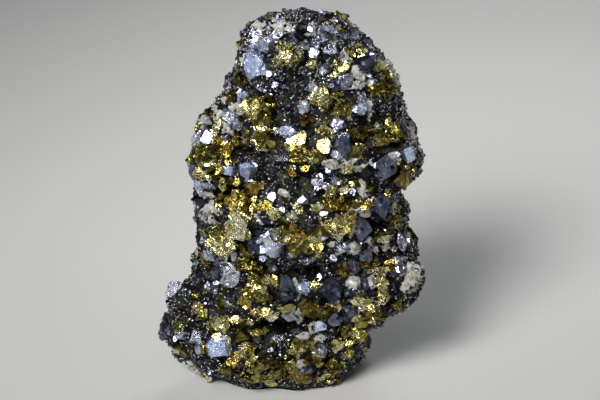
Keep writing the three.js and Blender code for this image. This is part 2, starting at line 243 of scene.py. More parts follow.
VIEW = np.array([0, -math.cos(LEAN), math.sin(LEAN)])  # towards the camera, square to the showing plane
VIEW_DISTANCE = 780.0
LOOK_AT = np.array([1.25, 0.0, 54.8])
LOOK_ACROSS, LOOK_UP = seen_at(LOOK_AT)
FACE_PASSES, FACE_STEP = 14, 0.6  # passes that find a spot of the face, and how far each goes of its way
RIM_SHARE = 0.995  # the spots stay within this share of the half width


def shown_at(point):
    """Where the camera shows points on the showing plane: nearer ones spread away from its aim, by its
    distance over theirs."""
    across, up = seen_at(point)
    spread = VIEW_DISTANCE / (VIEW_DISTANCE - (point - LOOK_AT) @ VIEW)
    return LOOK_ACROSS + (across - LOOK_ACROSS) * spread, LOOK_UP + (up - LOOK_UP) * spread


def on_face(across, up):
    """The spots of the face that the camera shows at places of the showing plane. Height and spread
    depend on how far forward the spot lies, so they are found together in a few damped passes, from the
    foot's edge."""
    y = np.full(across.shape, -FOOT_REACH)
    shrink = np.ones(across.shape)
    for _ in range(FACE_PASSES):
        level = LOOK_UP + (up - LOOK_UP) * shrink
        height = np.clip((level - (y + FOOT_REACH) * math.sin(LEAN)) / math.cos(LEAN), 0, TOP)
        middle, half, _, _ = reach(height)
        share = (LOOK_ACROSS + (across - LOOK_ACROSS) * shrink - middle) / half
        share = np.clip(share, -RIM_SHARE, RIM_SHARE)
        turn = np.arccos(np.sign(share) * np.abs(share) ** (ROUNDNESS / 2))
        point, _ = skin(turn, height)
        y = y + FACE_STEP * (point[..., 1] - y)
        shrink = 1 - (point - LOOK_AT) @ VIEW / VIEW_DISTANCE
    return point, square_to(turn, height)


# ---- the grains of the face ----------------------------------------------------------------------

# Each kind of grain: mineral, tone, stain, whether a flat face of it looks forwards (1 along GLINT, 2
# along one of SHEENS), and how much of it is overgrown by small crystals.
KINDS = {
    "bright brass": ("chalcopyrite", 0.80, 0.10, 0, 0.60),
    "brass mirror": ("chalcopyrite", 0.66, 0.10, 1, 0.20),
    "brass sheen": ("chalcopyrite", 0.86, 0.05, 2, 0.30),
    # Painted shade: a darker copy of the brass, its low tone standing in for faces turned away from the
    # light.
    "brass with painted shade": ("chalcopyrite", 0.38, 0.12, 0, 0.65),
    "tarnished brass": ("chalcopyrite", 0.52, 0.80, 0, 0.70),
    "galena mirror": ("galena", 0.46, 0.15, 1, 0.08),
    "blue galena": ("galena", 0.78, 0.6, 2, 0.04),
    # Painted shade: a dark copy of galena that faces SHEENS, its low tone standing in for faces that mirror
    # dark surroundings.
    "painted-shade sheen galena": ("galena", 0.30, 0.2, 2, 0.20),
    "pale galena": ("galena", 0.85, 0.0, 0, 0.50),
    # Painted shade: a dark copy of galena, its low tone standing in for faces that mirror dark
    # surroundings.
    "galena with painted shade": ("galena", 0.36, 0.0, 0, 0.35),
    "milky quartz": ("quartz", 0.50, 0.0, 0, 0.97),
}

# Where they sit on the face: across, up, half width, half height. The crown first, then down the face.
GRAINS = {
    "bright brass": [
        (-4.2, 107, 2.2, 1.8), (0, 105.8, 1.6, 1.6), (-3, 103.3, 3, 1.5), (5.2, 102.8, 1.3, 1.5),
        (20, 107.5, 1.2, 1), (20.5, 105.5, 1.2, 1.3), (22, 106.3, 1, 0.6), (13.5, 99, 2, 1),
        (14, 103, 1, 1), (27, 101.5, 1.8, 1.6), (30, 99, 1.4, 2), (26, 96, 1.5, 1),
        (-13.5, 89.5, 2.5, 2.2), (8, 91.5, 2.5, 2.8), (5.5, 92, 1.3, 1), (15.5, 88.5, 2.6, 2.4),
        (-14.5, 86.5, 1.6, 2.8), (-24.5, 83.5, 1.3, 1.3), (-16.8, 79.3, 1.4, 2), (-8.2, 81.5, 1.8, 0.8),
        (-11, 82, 1.5, 1), (-10.5, 76, 1.5, 1.5), (-13, 77.5, 1.4, 1), (-2, 76.3, 3, 1),
        (9.8, 82, 2.1, 1.8), (25.5, 82, 1.5, 1.2), (21, 76.3, 2.3, 1.8), (29, 84.5, 1, 0.6),
        (30.5, 82.8, 2, 0.8), (-29.5, 71.5, 2, 0.7), (-25, 71, 1.6, 1.3), (-28.5, 67, 2.5, 1.4),
        (-23.5, 64.5, 1.6, 2), (-1.2, 70, 0.9, 1), (16.3, 68.5, 1.5, 2.2), (11, 61.8, 1.9, 1.5),
        (15.2, 62.8, 0.9, 1), (-21, 59.2, 1.3, 1), (-17, 53.5, 2.6, 2.5), (-26, 48.5, 2.8, 2.3),
        (-22.5, 44.2, 3.2, 3), (-28, 46, 1, 1.2), (-3, 52.8, 2, 1), (0.5, 57, 1.5, 1.2),
        (-15.5, 42, 1, 1), (7.5, 57.5, 2, 1.3), (13, 53, 2, 2), (9, 52.5, 2, 1.8), (13, 49.3, 2.8, 2),
        (17.5, 52.5, 2, 3.6), (31.8, 53, 1.4, 2.6), (4, 47.5, 1.6, 1), (7, 42.3, 2, 1),
        (30.8, 43.8, 0.9, 0.9), (26, 37.7, 2.5, 0.7), (-9.5, 34.5, 3.2, 1.6), (-13, 33, 2.5, 1.8),
        (5.8, 33, 1.6, 1.6), (27, 34.5, 1.4, 2.8), (27.5, 30, 1.5, 2.2), (-31.5, 26.2, 1.6, 1),
        (-27.2, 20.8, 1.2, 1.8), (-21.2, 20, 1.3, 2), (-18.5, 21.5, 1.6, 1), (-15.7, 21.3, 1.7, 1.4),
        (-12.5, 24, 2, 1.5), (-7.5, 23.5, 2, 1), (-3.3, 25.7, 1.9, 1.3), (-17.5, 12.5, 2, 2),
        (20.5, 28, 2.5, 1.2), (23.5, 26, 2.5, 1.5), (19, 24, 1.4, 2.5), (12, 27, 1.5, 2), (3, 13.5, 3, 2),
        (0, 12, 1.5, 1.6), (13.2, 13.8, 1.8, 1), (17, 12.3, 1.5, 1.6), (22.8, 13, 0.8, 1.2),
        (-1, 8, 1.6, 1.4), (9.5, 4.3, 1.9, 0.9), (-8, 2, 2, 1.2),
    ],
    "brass mirror": [
        (15.5, 101.5, 1.1, 1.4), (-0.5, 78.5, 2.6, 1.3), (8.8, 76.3, 1.7, 2), (-21.3, 71.3, 1, 0.7),
        (7.5, 45, 1.3, 1.8), (-6.8, 35.2, 0.9, 0.9), (-24.3, 16.4, 1.2, 1), (-9.5, 24.5, 1, 1.2),
        (17, 15, 1.5, 1), (10.5, 2.6, 1.2, 0.5), (8.6, 28, 0.7, 0.6), (-13.5, 60, 0.8, 0.8),
        (2, 79.8, 1.2, 1.2), (-14.2, 89, 1.3, 1.9), (-16.8, 48.3, 2.1, 1.5), (-25.5, 48.2, 1.2, 1),
        (-22.8, 43.6, 1.4, 0.9), (-25.3, 82.5, 0.8, 1.8), (-28, 75.6, 1, 0.8), (-30.5, 69, 0.9, 0.7),
        (-18.5, 64.5, 0.9, 0.8), (-26, 71.2, 1, 0.8), (-12, 31.8, 1.1, 0.8),
    ],
    "brass sheen": [
        (-26, 81, 1.1, 3), (-21.5, 51.5, 1.2, 1.8), (-18, 49.5, 3.2, 3), (-6.5, 55, 2, 1.8),
        (-23.3, 20.3, 1.9, 1.9), (28, 47.5, 2.2, 0.9), (-12.5, 88, 1.6, 2.6), (-24, 46, 2.2, 1.8),
        (5.5, 47, 1.8, 1.2), (17, 52, 1.4, 3), (-3.5, 104.5, 2, 1.4), (21, 106, 1, 1.2),
    ],
    # Painted shade: the grains of the darker copy of the brass.
    "brass with painted shade": [
        (-18, 109.5, 1.3, 1.8), (-18, 97.5, 3, 1.3), (-21, 95, 1.5, 3), (-20.5, 91.5, 1.8, 1.6),
        (17.5, 106.5, 2, 1.4), (28.5, 97.8, 2, 2.2), (26.5, 94.5, 3.6, 1.5), (29.5, 93.5, 2.4, 1.8),
        (-10.5, 90, 2, 2), (-30.5, 85, 1.6, 2), (-27, 87, 1.5, 1.2), (-12, 84.5, 3, 1.8),
        (-9, 87, 2, 2.6), (-26, 76, 1.8, 1.5), (-19, 77.8, 2, 2), (-11, 79.3, 3, 1.6), (0, 75, 2.5, 1.5),
        (3.5, 84, 1.6, 1.5), (20, 80, 3.5, 2), (18, 74.3, 2.5, 2.3), (29, 79, 4, 2.4),
        (-31, 74.5, 2.4, 2.4), (-28, 73.5, 2.4, 2.2), (-27.5, 69.8, 3.5, 1), (-25.5, 68, 1.6, 1.3),
        (-21, 66, 1.6, 1.4), (-24, 61, 2.6, 1.6), (5, 73.3, 4.6, 2), (18, 64.7, 2.5, 1.3),
        (24, 63.5, 1.4, 1), (33.5, 67, 2.4, 2.6), (33, 80, 2, 2.5), (-13.5, 57.5, 1.6, 1.3),
        (-10, 57, 2.4, 1.2), (-16, 44, 2, 2), (-3, 49.5, 2.5, 2.6), (-1, 45.5, 1.6, 2.6),
        (-16.5, 38.5, 3, 1.8), (-12, 37.5, 2.4, 1.2), (-14.5, 30.5, 3, 1.3), (-10, 29.5, 2.6, 2),
        (13, 58, 3.6, 1.8), (18, 58.5, 2.5, 1.6), (9, 49.8, 3, 1.4), (3, 44.3, 2.6, 2),
        (27, 49, 4.2, 1.3), (-37.2, 20, 1.4, 2), (-29.5, 24.3, 1.2, 1.8), (-24, 26.5, 1, 1.5),
        (-36, 12.5, 1.6, 1.5), (-17.5, 17.5, 2.2, 2), (-12, 18.5, 2.8, 1), (-14, 12.5, 1.6, 2),
        (-11, 8.5, 3.6, 2), (-16, 4, 2.6, 1.3), (-11, 3.6, 2.8, 1.4), (-22, 6.3, 1.6, 1.4),
        (-5.5, 5.5, 2.6, 2), (4.5, 25.5, 2.6, 2), (9, 25, 2.6, 2.4), (25.5, 23, 3, 2),
        (21.5, 21.5, 2, 1.5), (16, 18.3, 2.8, 1.5), (21, 17, 2.4, 2.2), (32, 26.8, 1.6, 1.2),
        (13, 7.5, 2.5, 2), (4.5, 4, 3, 1.2), (0, 4.8, 2.6, 1.5), (5.5, 9.5, 2, 1.6),
    ],
    "tarnished brass": [
        (-24.5, 78.3, 1.6, 1.2), (-22.3, 75.3, 2, 2.3), (2.5, 77.2, 1.2, 0.8), (13, 93.7, 1.2, 1),
        (-13.5, 63.5, 1.9, 1.7), (-16.5, 59.7, 1.8, 1.9), (-19, 61.7, 2.6, 1.3), (-18.5, 57.5, 2.8, 2),
        (-24.5, 58, 1.6, 1.1), (2.8, 69, 1, 0.9), (28.8, 61, 0.9, 0.9), (22.8, 57.5, 1.6, 1.3),
        (1, 48.5, 1.6, 2), (-29, 41, 1.5, 1.6), (23, 39.2, 2.6, 1.2), (29.5, 39.7, 2, 1.2),
        (14.8, 37.5, 1.8, 1.8), (-31.8, 29.8, 1, 0.7), (-16.5, 28.3, 2, 1.2), (-28.3, 13.2, 1.3, 1.4),
        (-20.5, 9.3, 1.6, 1.8), (13.3, 15.7, 1, 0.9), (13.5, 3, 1.2, 0.9), (-1.5, 68.3, 1, 1),
    ],
    "galena mirror": [
        (-18.5, 93.8, 0.9, 1.2), (4.3, 113.8, 1.1, 1.1), (-6.5, 95.5, 0.9, 0.9), (-11.3, 94.2, 1.8, 0.6),
        (23, 98.3, 0.9, 0.7), (-28.8, 79.5, 1.4, 2.1), (-28, 63.8, 2.4, 0.9), (-14, 70.8, 1.6, 0.6),
        (-14.8, 65.8, 1.4, 0.8), (-7.5, 60.5, 1.2, 1.1), (2, 59.3, 1.5, 1.5), (8, 66.8, 1.2, 1),
        (9.8, 68.5, 0.9, 0.8), (-4.3, 56, 0.9, 0.9), (-10.5, 41, 1.1, 0.8), (12.2, 41.3, 1, 1),
        (7.3, 35.8, 0.9, 0.8), (-38.6, 16.2, 0.8, 0.8), (8.8, 55.2, 1.2, 0.7), (-25, 33.5, 1.1, 0.6),
        (-27, 32.5, 0.7, 0.9), (-27, 5.3, 0.9, 0.6), (-7.8, 12.7, 1, 0.5), (31.6, 74, 0.7, 0.7),
        (18, 62.5, 1.3, 0.8), (-9, 99, 0.9, 0.8),
    ],
    "blue galena": [
        (-14.5, 101.7, 2.8, 3.4), (35.7, 74.3, 1.5, 1.9), (-24, 13, 3, 2.6), (7.5, 20, 1.6, 1.6),
        (-22, 68.5, 2.2, 1.2), (-31, 64, 1, 2), (-2.5, 81, 2.2, 1.5), (2.8, 32.2, 1.8, 1.7),
        (-16.3, 69.3, 2.4, 2.4), (-9, 44, 2.4, 1.6), (13.8, 76.8, 1.3, 1.8), (-17, 92, 1.6, 1.9),
    ],
    # Painted shade: the grains of the dark copy of galena whose faces look along SHEENS.
    "painted-shade sheen galena": [
        (28, 68.8, 3, 3), (27.5, 56.5, 2.4, 3), (21.7, 51.5, 2.6, 3), (-3, 33, 2, 2.2),
        (14.5, 76.2, 1.9, 2.6), (22.5, 103.3, 2.2, 2.1), (12.3, 95.5, 1.6, 1.6), (17, 24, 2, 1.6),
        (-13.2, 46, 2, 3), (11.5, 32.5, 2.9, 2.9),
    ],
    "pale galena": [
        (-6.5, 118, 2.5, 1.1), (-13.5, 110.5, 1.5, 2), (-6.5, 111.5, 1.6, 1.5), (-9.8, 109, 2.4, 1.8),
        (-14, 106.5, 3, 1), (8.5, 111.5, 1.5, 1.5), (11, 107, 2, 1.5), (15.2, 105.5, 0.9, 1.1),
        (24.3, 104.7, 1.2, 1.1), (26.5, 98.3, 1.2, 1.1), (24, 96.5, 1.3, 1.2), (15.5, 96.5, 2, 1.8),
        (4.5, 94.5, 1.6, 1.5), (21, 91, 1.1, 2.4), (-22, 86.5, 1.5, 1.4), (3, 108, 1.4, 1.2),
        (6.5, 108.5, 1.2, 1.4), (12.5, 111.5, 1.3, 1.2), (6, 105.5, 1.1, 1.2), (9, 100, 1.2, 1.1),
        (-20.5, 84.8, 1.5, 1.8), (-18.5, 82.5, 1, 1), (-31.8, 79.5, 1.3, 2.5), (2.5, 89, 1.3, 1.6),
        (20, 87.5, 2, 1.3), (15, 79.3, 1.4, 1.3), (14.3, 74, 1.8, 1.3), (-4.5, 73, 1.6, 1.5),
        (7, 64.5, 1.6, 1.5), (13.5, 65.7, 2, 0.9), (10.3, 64, 1.2, 1), (31.5, 60.5, 1.3, 1.2),
        (-29.7, 48, 1, 2.4), (-27.3, 42.8, 1.3, 2), (-19.3, 42.3, 1, 1.5), (-24, 39, 2, 1.1),
        (-21.5, 36, 2.2, 2.8), (-7.5, 46.5, 3.2, 3.2), (-11.5, 44.7, 2, 1.4), (33.8, 47, 1.3, 2.5),
        (36, 46, 1.2, 1.8), (8.6, 48, 1, 0.9), (14.3, 44.5, 1.8, 1.8), (33, 41.5, 1.9, 1.3),
        (32.5, 38, 1.8, 1.6), (3.5, 40.5, 2, 0.9), (-38.5, 32, 2.2, 2.4), (-22, 28, 1.9, 1.5),
        (-31, 16.3, 1.8, 1.9), (-30.7, 13.3, 1, 1.4), (-35.5, 17.5, 1.5, 1.2), (-1.5, 23.2, 1.9, 1.3),
        (8, 12.5, 2, 1.7), (-25, 32, 1.4, 1), (-6, 16.5, 1.5, 1),
    ],
    # Painted shade: the grains of the dark copy of galena.
    "galena with painted shade": [
        (-0.8, 110, 1.1, 1.6), (2, 114, 1.6, 1.5), (9.5, 113, 1.6, 2.3), (16, 111, 1.6, 1.5),
        (-23.5, 89, 1.1, 1.1), (-22, 79, 1.5, 1), (13.5, 83.5, 2.2, 1.6), (22.8, 68.2, 1.6, 2.2),
        (-29, 59.5, 2.4, 1), (-9.5, 53.5, 2, 1.5), (-9.5, 50.5, 2, 1), (-4, 43.5, 1.2, 2),
        (-25.5, 36.5, 1.3, 2), (-6.8, 38, 1.3, 1.2), (-3, 30.8, 2.6, 1.9), (19.5, 49.5, 1.6, 1.5),
        (22.5, 43, 1.5, 2.3), (18.3, 38.8, 1.7, 1.8), (21.5, 34.5, 0.9, 2.4), (13, 22.5, 1.9, 1.8),
        (16.5, 29, 1.6, 1.5), (-40.5, 19, 1.1, 2.4), (12, 68, 1.8, 1.2), (3.5, 6.2, 1.8, 0.8),
    ],
    "milky quartz": [
        (-12, 114.5, 2.6, 2.4), (-4, 115, 3, 2.2), (-12, 116.5, 1.8, 0.6), (3.5, 116, 1.8, 1.2),
        (5.5, 114, 1, 2), (-16.8, 104, 0.9, 1.6), (12, 109.5, 1.5, 1), (16.5, 104.5, 1.4, 2),
        (19, 100.3, 1.3, 2), (21, 100, 0.8, 2), (28.5, 103.5, 1.1, 1.9), (31, 100, 1, 2.4),
        (32.5, 96.3, 1, 1.8), (33.5, 93, 1.2, 2.4), (20, 95.5, 2, 0.9), (-23.5, 91, 1.8, 1.1),
        (-19.5, 88.5, 2, 1.6), (-25.5, 87.5, 2, 2), (-28.5, 84.5, 1.6, 1.4), (-22.5, 82, 1.6, 1.6),
        (23.5, 88, 0.9, 2), (35.5, 83.5, 1.2, 2.8), (38, 79, 1.2, 2.4), (40, 74.5, 1, 2.4),
        (31, 72, 2, 1.5), (38, 75.3, 1.4, 1.5), (-33.8, 73, 0.9, 3), (-28, 61.2, 2.8, 0.8),
        (-4, 62, 1.3, 1.3), (12, 70.3, 2, 1.3), (17.5, 72, 2.4, 1), (20.3, 69.2, 1.4, 1.3),
        (23.5, 70.5, 2, 0.8), (21.3, 62.5, 1.3, 2), (26.5, 60, 2, 1), (-28, 57, 1.9, 2.3),
        (-25, 56.3, 1.4, 1), (-11.5, 54, 1.3, 2), (-1.5, 54.2, 1.3, 1), (-31.2, 49, 0.9, 2),
        (-31.5, 44.5, 0.9, 1.6), (-19, 37, 1, 1), (-2, 42.5, 0.9, 1.3), (-0.8, 33, 1, 1.5),
        (0.5, 30.8, 0.8, 1.8), (23, 55.3, 2, 1.3), (19.5, 56.4, 2, 0.9), (31.5, 57, 1.3, 1.3),
        (35, 54.5, 0.7, 3), (35.6, 49, 0.8, 2), (12, 45.8, 1.3, 0.9), (19.3, 44.3, 2.2, 1.6),
        (23.5, 46.5, 1.6, 0.9), (25, 44, 1, 2.4), (29, 45, 1.1, 1.3), (18.5, 33.8, 1.6, 1.5),
        (24, 34.8, 1.6, 1.6), (23, 37, 2, 0.9), (-40, 28, 1.2, 2.8), (-33, 8, 1.1, 2.8),
        (-29.5, 54.5, 1.2, 1.5), (-31, 52, 0.8, 1.6), (-27, 53, 1, 0.8), (-18.8, 10.8, 1, 1.1),
        (1, 23, 0.9, 1.7), (5.5, 19, 1.2, 1.4), (2.5, 17, 1.7, 1), (8, 16.3, 1.4, 1),
        (1.7, 8.5, 1.6, 1.3), (38.5, 37, 2.4, 2.4), (36.5, 33.3, 2.6, 2.2),
    ],
}
# A face that looks along GLINT throws the key light at the front, and along SHEENS the side lights.
GLINT = unit(np.array([-0.22, -0.86, 0.46]))
SHEENS = unit(np.array([[0.43, -0.82, 0.38], [-0.54, -0.76, 0.36]]))

# Open pits between the grains: across, up, half width, half height.
PITS = [
    (-12.5, 104.5, 2, 2), (3.5, 110, 2.4, 1.4), (25.2, 102, 1, 2.4), (-18, 85, 1.2, 2),
    (-16, 74.8, 3.4, 0.9), (27, 74.5, 3, 1.3), (8, 70.8, 3, 0.8), (-19.5, 63.7, 3, 1.6),
    (-28, 53.3, 1.2, 1.8), (-24.5, 53, 1.5, 1.2), (-2.5, 56, 1.3, 1.4), (-20.7, 43, 2, 1),
    (26.5, 51.6, 3, 1), (16.5, 44, 1, 1.8), (27.3, 43.5, 1.3, 1.6), (4, 37.5, 3, 1.5),
    (11.5, 38.5, 1.4, 1.5), (-0.5, 36.5, 2.4, 1.8), (25, 31.5, 2, 1), (-17.5, 25, 3, 1.4),
    (-9, 21, 2.6, 1), (-2, 20, 3, 1.4), (3.5, 22, 1.4, 1.4), (-24.5, 9.5, 2.6, 1), (9, 9.5, 3, 1.4),
    (22, 85, 2, 1.4), (31, 64, 2.6, 1.6), (29.5, 28, 1.6, 1.4),
]
PIT_DEPTH = 3.4
# Spots of fine grey speckle among the black blende: the same.
SPECKLE = [
    (12.5, 113, 7, 6), (17, 111, 7, 5), (1, 117, 6, 4), (-20, 102, 2, 4), (6, 107.5, 4, 2.5),
    (-16, 110, 4, 6), (-8, 97, 5, 5), (10, 98.5, 7, 5), (19, 97, 5, 6), (32, 88, 2.5, 5),
    (37, 79, 2.5, 6), (-7.5, 72.5, 2, 2), (-31.5, 57, 1.5, 3), (-14, 52, 1.5, 3), (-3, 38.5, 2.6, 2),
    (-18, 34.5, 2, 1.5), (37, 42, 2.4, 4), (38, 36, 3.5, 5), (34, 34, 3, 3), (-34, 14, 3, 3),
    (-39, 27, 2, 4), (-32, 9, 2, 4), (-4, 15, 2.4, 2.4), (23, 16, 2, 4), (39, 66, 2.5, 5),
    (36, 61, 2, 5),
]


# ---- the ground the grains sit on ----------------------------------------------------------------

MOTTLE_SWING = 2.25


def mottled(point, lengths, seed, least):
    """Where a slow mottle from about -1 to 1 is above least: for each length it has three sines along
    slanting directions, and their sum is divided by MOTTLE_SWING and the root of the number of lengths."""
    rng = np.random.default_rng(seed)
    total = np.zeros(point.shape[:-1])
    for length in lengths:
        for direction in unit(rng.normal(size=(3, 3))):
            total += np.sin(point @ direction * 2 * math.pi / length + rng.uniform(0, 2 * math.pi))
    return total / (MOTTLE_SWING * math.sqrt(len(lengths))) > least


def patch(point, spots):
    """How much each point of the face belongs to any of the spots: the highest of their bell curves."""
    across, up = shown_at(point)
    best = np.zeros(across.shape)
    for at, level, wide, tall in spots:
        best = np.maximum(best, bell(across - at, up - level, wide, tall))
    return best * smooth_step(-point[..., 1] / RELIEF_EDGE)


def ground(turn, height, scale=1.0):
    """The skin with the open pits let into it, each as deep as its bell curve times PIT_DEPTH."""
    point, out = skin(turn, height, scale)
    return point - out * (PIT_DEPTH * patch(point, PITS))[..., None], out


# ---- crystal habits ------------------------------------------------------------------------------

class Habit:
    """The room inside flat faces that look along normals at given reaches, shrunk to unit radius."""

    def __init__(self, normals, reaches):
        """A corner is a meeting of three planes that no other plane cuts off. Each face holds the corners
        that lie on its plane, in order round it."""
        self.normals = unit(np.asarray(normals, float))
        triples = np.array(list(itertools.combinations(range(len(self.normals)), 3)))
        triples = triples[np.abs(np.linalg.det(self.normals[triples])) > 1e-3]
        meets = np.linalg.solve(self.normals[triples], reaches[triples][..., None])[..., 0]
        meets = meets[(meets @ self.normals.T <= reaches + 1e-6).all(1)]
        corners = np.unique(np.round(meets, 5), axis=0)
        size = np.linalg.norm(corners, axis=1).max()
        self.corners, self.reaches = corners / size, reaches / size
        self.faces = []
        for normal, distance in zip(self.normals, self.reaches):
            rim = np.flatnonzero(np.abs(self.corners @ normal - distance) < 1e-4)
            if len(rim) >= 3:
                spokes = self.corners[rim] - self.corners[rim].mean(0)
                side = np.cross(normal, unit(spokes[0]))
                self.faces.append(rim[np.argsort(np.arctan2(spokes @ side, spokes @ unit(spokes[0])))])


HABITS = 8


def uneven(normals, reaches, spread):
    """Several habits of the same faces, each face nearer or further by chance, as real crystals grow:
    every reach is multiplied by a number within spread of 1."""
    reaches = np.asarray(reaches, float)
    low, high = 1 - spread, 1 + spread
    return [Habit(normals, reaches * draw.uniform(low, high, len(reaches))) for _ in range(HABITS)]


def ring(angles, across, up):
    """Directions at angles round +Z, each so much across and so much up."""
    return np.stack([across * np.cos(angles), across * np.sin(angles), 0 * angles + up], -1)


# Face directions: of a tetrahedron (the first straight up), of two as one, a cube, an octahedron, a
# six-sided prism, the point that closes it, and a cube with its corners cut.
THIRDS = np.arange(3) * 2 * math.pi / 3
SIXTHS = np.arange(6) * math.pi / 3
TETRAHEDRON = np.vstack([[0, 0, 1], ring(THIRDS, math.sqrt(8) / 3, -1 / 3)])
WEDGES = np.vstack([TETRAHEDRON, -TETRAHEDRON])
CUBE = np.vstack([np.eye(3), -np.eye(3)])
OCTAHEDRON = np.array(list(itertools.product([-1, 1], repeat=3)), float)
PRISM = ring(SIXTHS, 1, 0)
POINT_FACES = ring(SIXTHS, 0.72, 0.69)
LUMP = np.vstack([CUBE, OCTAHEDRON])

# For each mineral, the habits of its large grains and those of its small crystals.
LARGE = {
    "chalcopyrite": uneven(WEDGES, [1.0] * 4 + [1.35] * 4, 0.2),
    "galena": uneven(LUMP, [1.0] * 6 + [1.35] * 8, 0.22),
    "quartz": uneven(LUMP, [1.0] * 6 + [1.3] * 8, 0.3),
}
SMALL = {
    "chalcopyrite": uneven(WEDGES, [1.0] * 4 + [1.9] * 4, 0.25),
    "galena": uneven(np.vstack([CUBE, OCTAHEDRON[:4]]), [1.0] * 6 + [1.35] * 4, 0.2),
    "sphalerite": uneven(WEDGES[:6], [1.0] * 4 + [1.4] * 2, 0.25),
    "quartz": uneven(np.vstack([PRISM, POINT_FACES, [[0, 0, -1]]]), [0.62] * 6 + [1.12] * 6 + [0.8], 0.12),
}


# ---- turns and shapes ----------------------------------------------------------------------------

def matrices(rows):
    """Matrices from rows of entries, where an entry holds one number for each matrix."""
    return np.stack([np.stack(row, -1) for row in rows], -2)


def spins(count):
    """Random turns, evenly over all directions: rotation matrices of random unit quaternions."""
    w, x, y, z = unit(draw.normal(size=(count, 4))).T
    return matrices([
        [1 - 2 * (y * y + z * z), 2 * (x * y - z * w), 2 * (x * z + y * w)],
        [2 * (x * y + z * w), 1 - 2 * (x * x + z * z), 2 * (y * z - x * w)],
        [2 * (x * z - y * w), 2 * (y * z + x * w), 1 - 2 * (x * x + y * y)],
    ])


NEARLY_UP = (0, 0.05, 1.0)  # leans a little, so that no way out of the crown is quite along it


def upright(directions):
    """For each direction, the turn whose columns are a level side, the way up and the direction."""
    aim = unit(directions)
    side = unit(np.cross(NEARLY_UP, aim))
    return np.stack([side, np.cross(aim, side), aim], -1)


def aimed(directions):
    """Turns that take a crystal's own +Z to given directions, with a random turn about them."""
    about = draw.uniform(0, 2 * math.pi, len(directions))
    zero, one = np.zeros(len(about)), np.ones(len(about))
    cosine, sine = np.cos(about), np.sin(about)
    swing = matrices([[cosine, -sine, zero], [sine, cosine, zero], [zero, zero, one]])
    return upright(directions) @ swing


def nudged(turns, degrees):
    """Each turn with a small extra one about a random axis: I + a[k] + (1 - cos a)[k]^2, in Rodrigues'
    formula."""
    x, y, z = unit(draw.normal(size=(len(turns), 3))).T
    angle = np.radians(draw.normal(0, 1, (len(turns), 1, 1)) * np.reshape(degrees, (-1, 1, 1)))
    zero = np.zeros(len(turns))
    k = matrices([[zero, -z, y], [z, zero, -x], [-y, x, zero]])
    return (np.eye(3) + np.sin(angle) * k + (1 - np.cos(angle)) * (k @ k)) @ turns


OWN_STEP = 40.0  # crystals whose tones differ by 1 take their finish's pattern this many millimetres apart


class Crop:
    """The crystals of one piece, gathered as arrays until they become one mesh."""

    def __init__(self, habits):
        self.habits = habits
        self.batches = []

    def grow(self, centres, shapes, tones, stains, kinds=None):
        """Adds crystals. A shape is the matrix that stretches and turns the unit crystal."""
        if kinds is None:
            kinds = draw.integers(0, len(self.habits), len(centres))
        self.batches.append((centres, shapes, tones, stains, kinds))

    def mesh(self, name):
        """One mesh of all the crystals: a crystal's corners are its habit's, put through its shape and
        moved to its centre. For the finish, each corner keeps its crystal's tone and stain, and its place
        in the crystal's own axes: in millimetres, moved on by OWN_STEP times the tone."""
        centres, shapes, tones, stains, kinds = (np.concatenate(part) for part in zip(*self.batches))
        sizes = np.cbrt(np.abs(np.linalg.det(shapes)))
        points, own, tone, stain, loops, totals = [], [], [], [], [], []
        start = 0
        for kind, habit in enumerate(self.habits):
            chosen = kinds == kind
            count, corners = int(chosen.sum()), len(habit.corners)
            placed = habit.corners @ shapes[chosen].transpose(0, 2, 1) + centres[chosen][:, None]
            points.append(placed.reshape(-1, 3))
            size, shift = (values[chosen][:, None, None] for values in (sizes, OWN_STEP * tones))
            own.append((habit.corners[None] * size + shift).reshape(-1, 3))
            tone.append(np.repeat(tones[chosen], corners))
            stain.append(np.repeat(stains[chosen], corners))
            firsts = start + corners * np.arange(count)[:, None]
            loops.append((firsts + np.concatenate(habit.faces)[None]).ravel())
            totals.append(np.tile([len(face) for face in habit.faces], count))
            start += count * corners
        made = mesh_of(name, *map(np.concatenate, (points, loops, totals)))
        for key, values in (("tone", tone), ("stain", stain)):
            values = np.concatenate(values).astype(np.float32)
            made.attributes.new(key, "FLOAT", "POINT").data.foreach_set("value", values)
        own = np.concatenate(own).astype(np.float32).ravel()
        made.attributes.new("own", "FLOAT_VECTOR", "POINT").data.foreach_set("vector", own)
        return made


def mesh_of(name, points, loops, totals):
    """A mesh from points in the rock's frame and faces as a run of corner numbers. Nothing is lower than
    the foot. Faces stay flat."""
    placed = (points - BOX_MIDDLE) * MM
    placed[:, 2] = np.maximum(placed[:, 2], 0)
    made = bpy.data.meshes.new(name)
    made.vertices.add(len(placed))
    made.vertices.foreach_set("co", placed.astype(np.float32).ravel())
    made.loops.add(len(loops))
    made.loops.foreach_set("vertex_index", loops.astype(np.int32))
    made.polygons.add(len(totals))
    starts = np.concatenate([[0], np.cumsum(totals)[:-1]])
    made.polygons.foreach_set("loop_start", starts.astype(np.int32))
    made.polygons.foreach_set("loop_total", totals.astype(np.int32))
    made.update(calc_edges=True)
    made.validate()
    made.shade_flat()
    return made


def put_in(name, data):
    """A new object of the scene."""
    made = bpy.data.objects.new(name, data)
    bpy.context.scene.collection.objects.link(made)
    return made


def piece(mesh, material):
    """A finished piece of the specimen, which rides with the rock."""
    made = put_in(mesh.name, mesh)
    mesh.materials.append(material)
    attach(made, "root")
    return made


# ---- the large grains ----------------------------------------------------------------------------

GOLDEN = math.pi * (3 - math.sqrt(5))
FLANK_AREA = 23000.0
CROWN_AREA = 420.0
MEAN_REACH = 30.0
WIDE_SHARE = 0.2
FACE_SHARE = 0.15
STRAY = 0.8  # sites stray from an even field by at most this share of their spacing
LOWEST = 0.3


def crowded(even):
    """Turns set closer together on the broad face and back, where a step of turn is a longer way, and
    closest on the face: the even turn, half WIDE_SHARE of the sine of twice it, and FACE_SHARE of its
    cosine."""
    return even + 0.5 * WIDE_SHARE * np.sin(2 * even) + FACE_SHARE * np.cos(even)


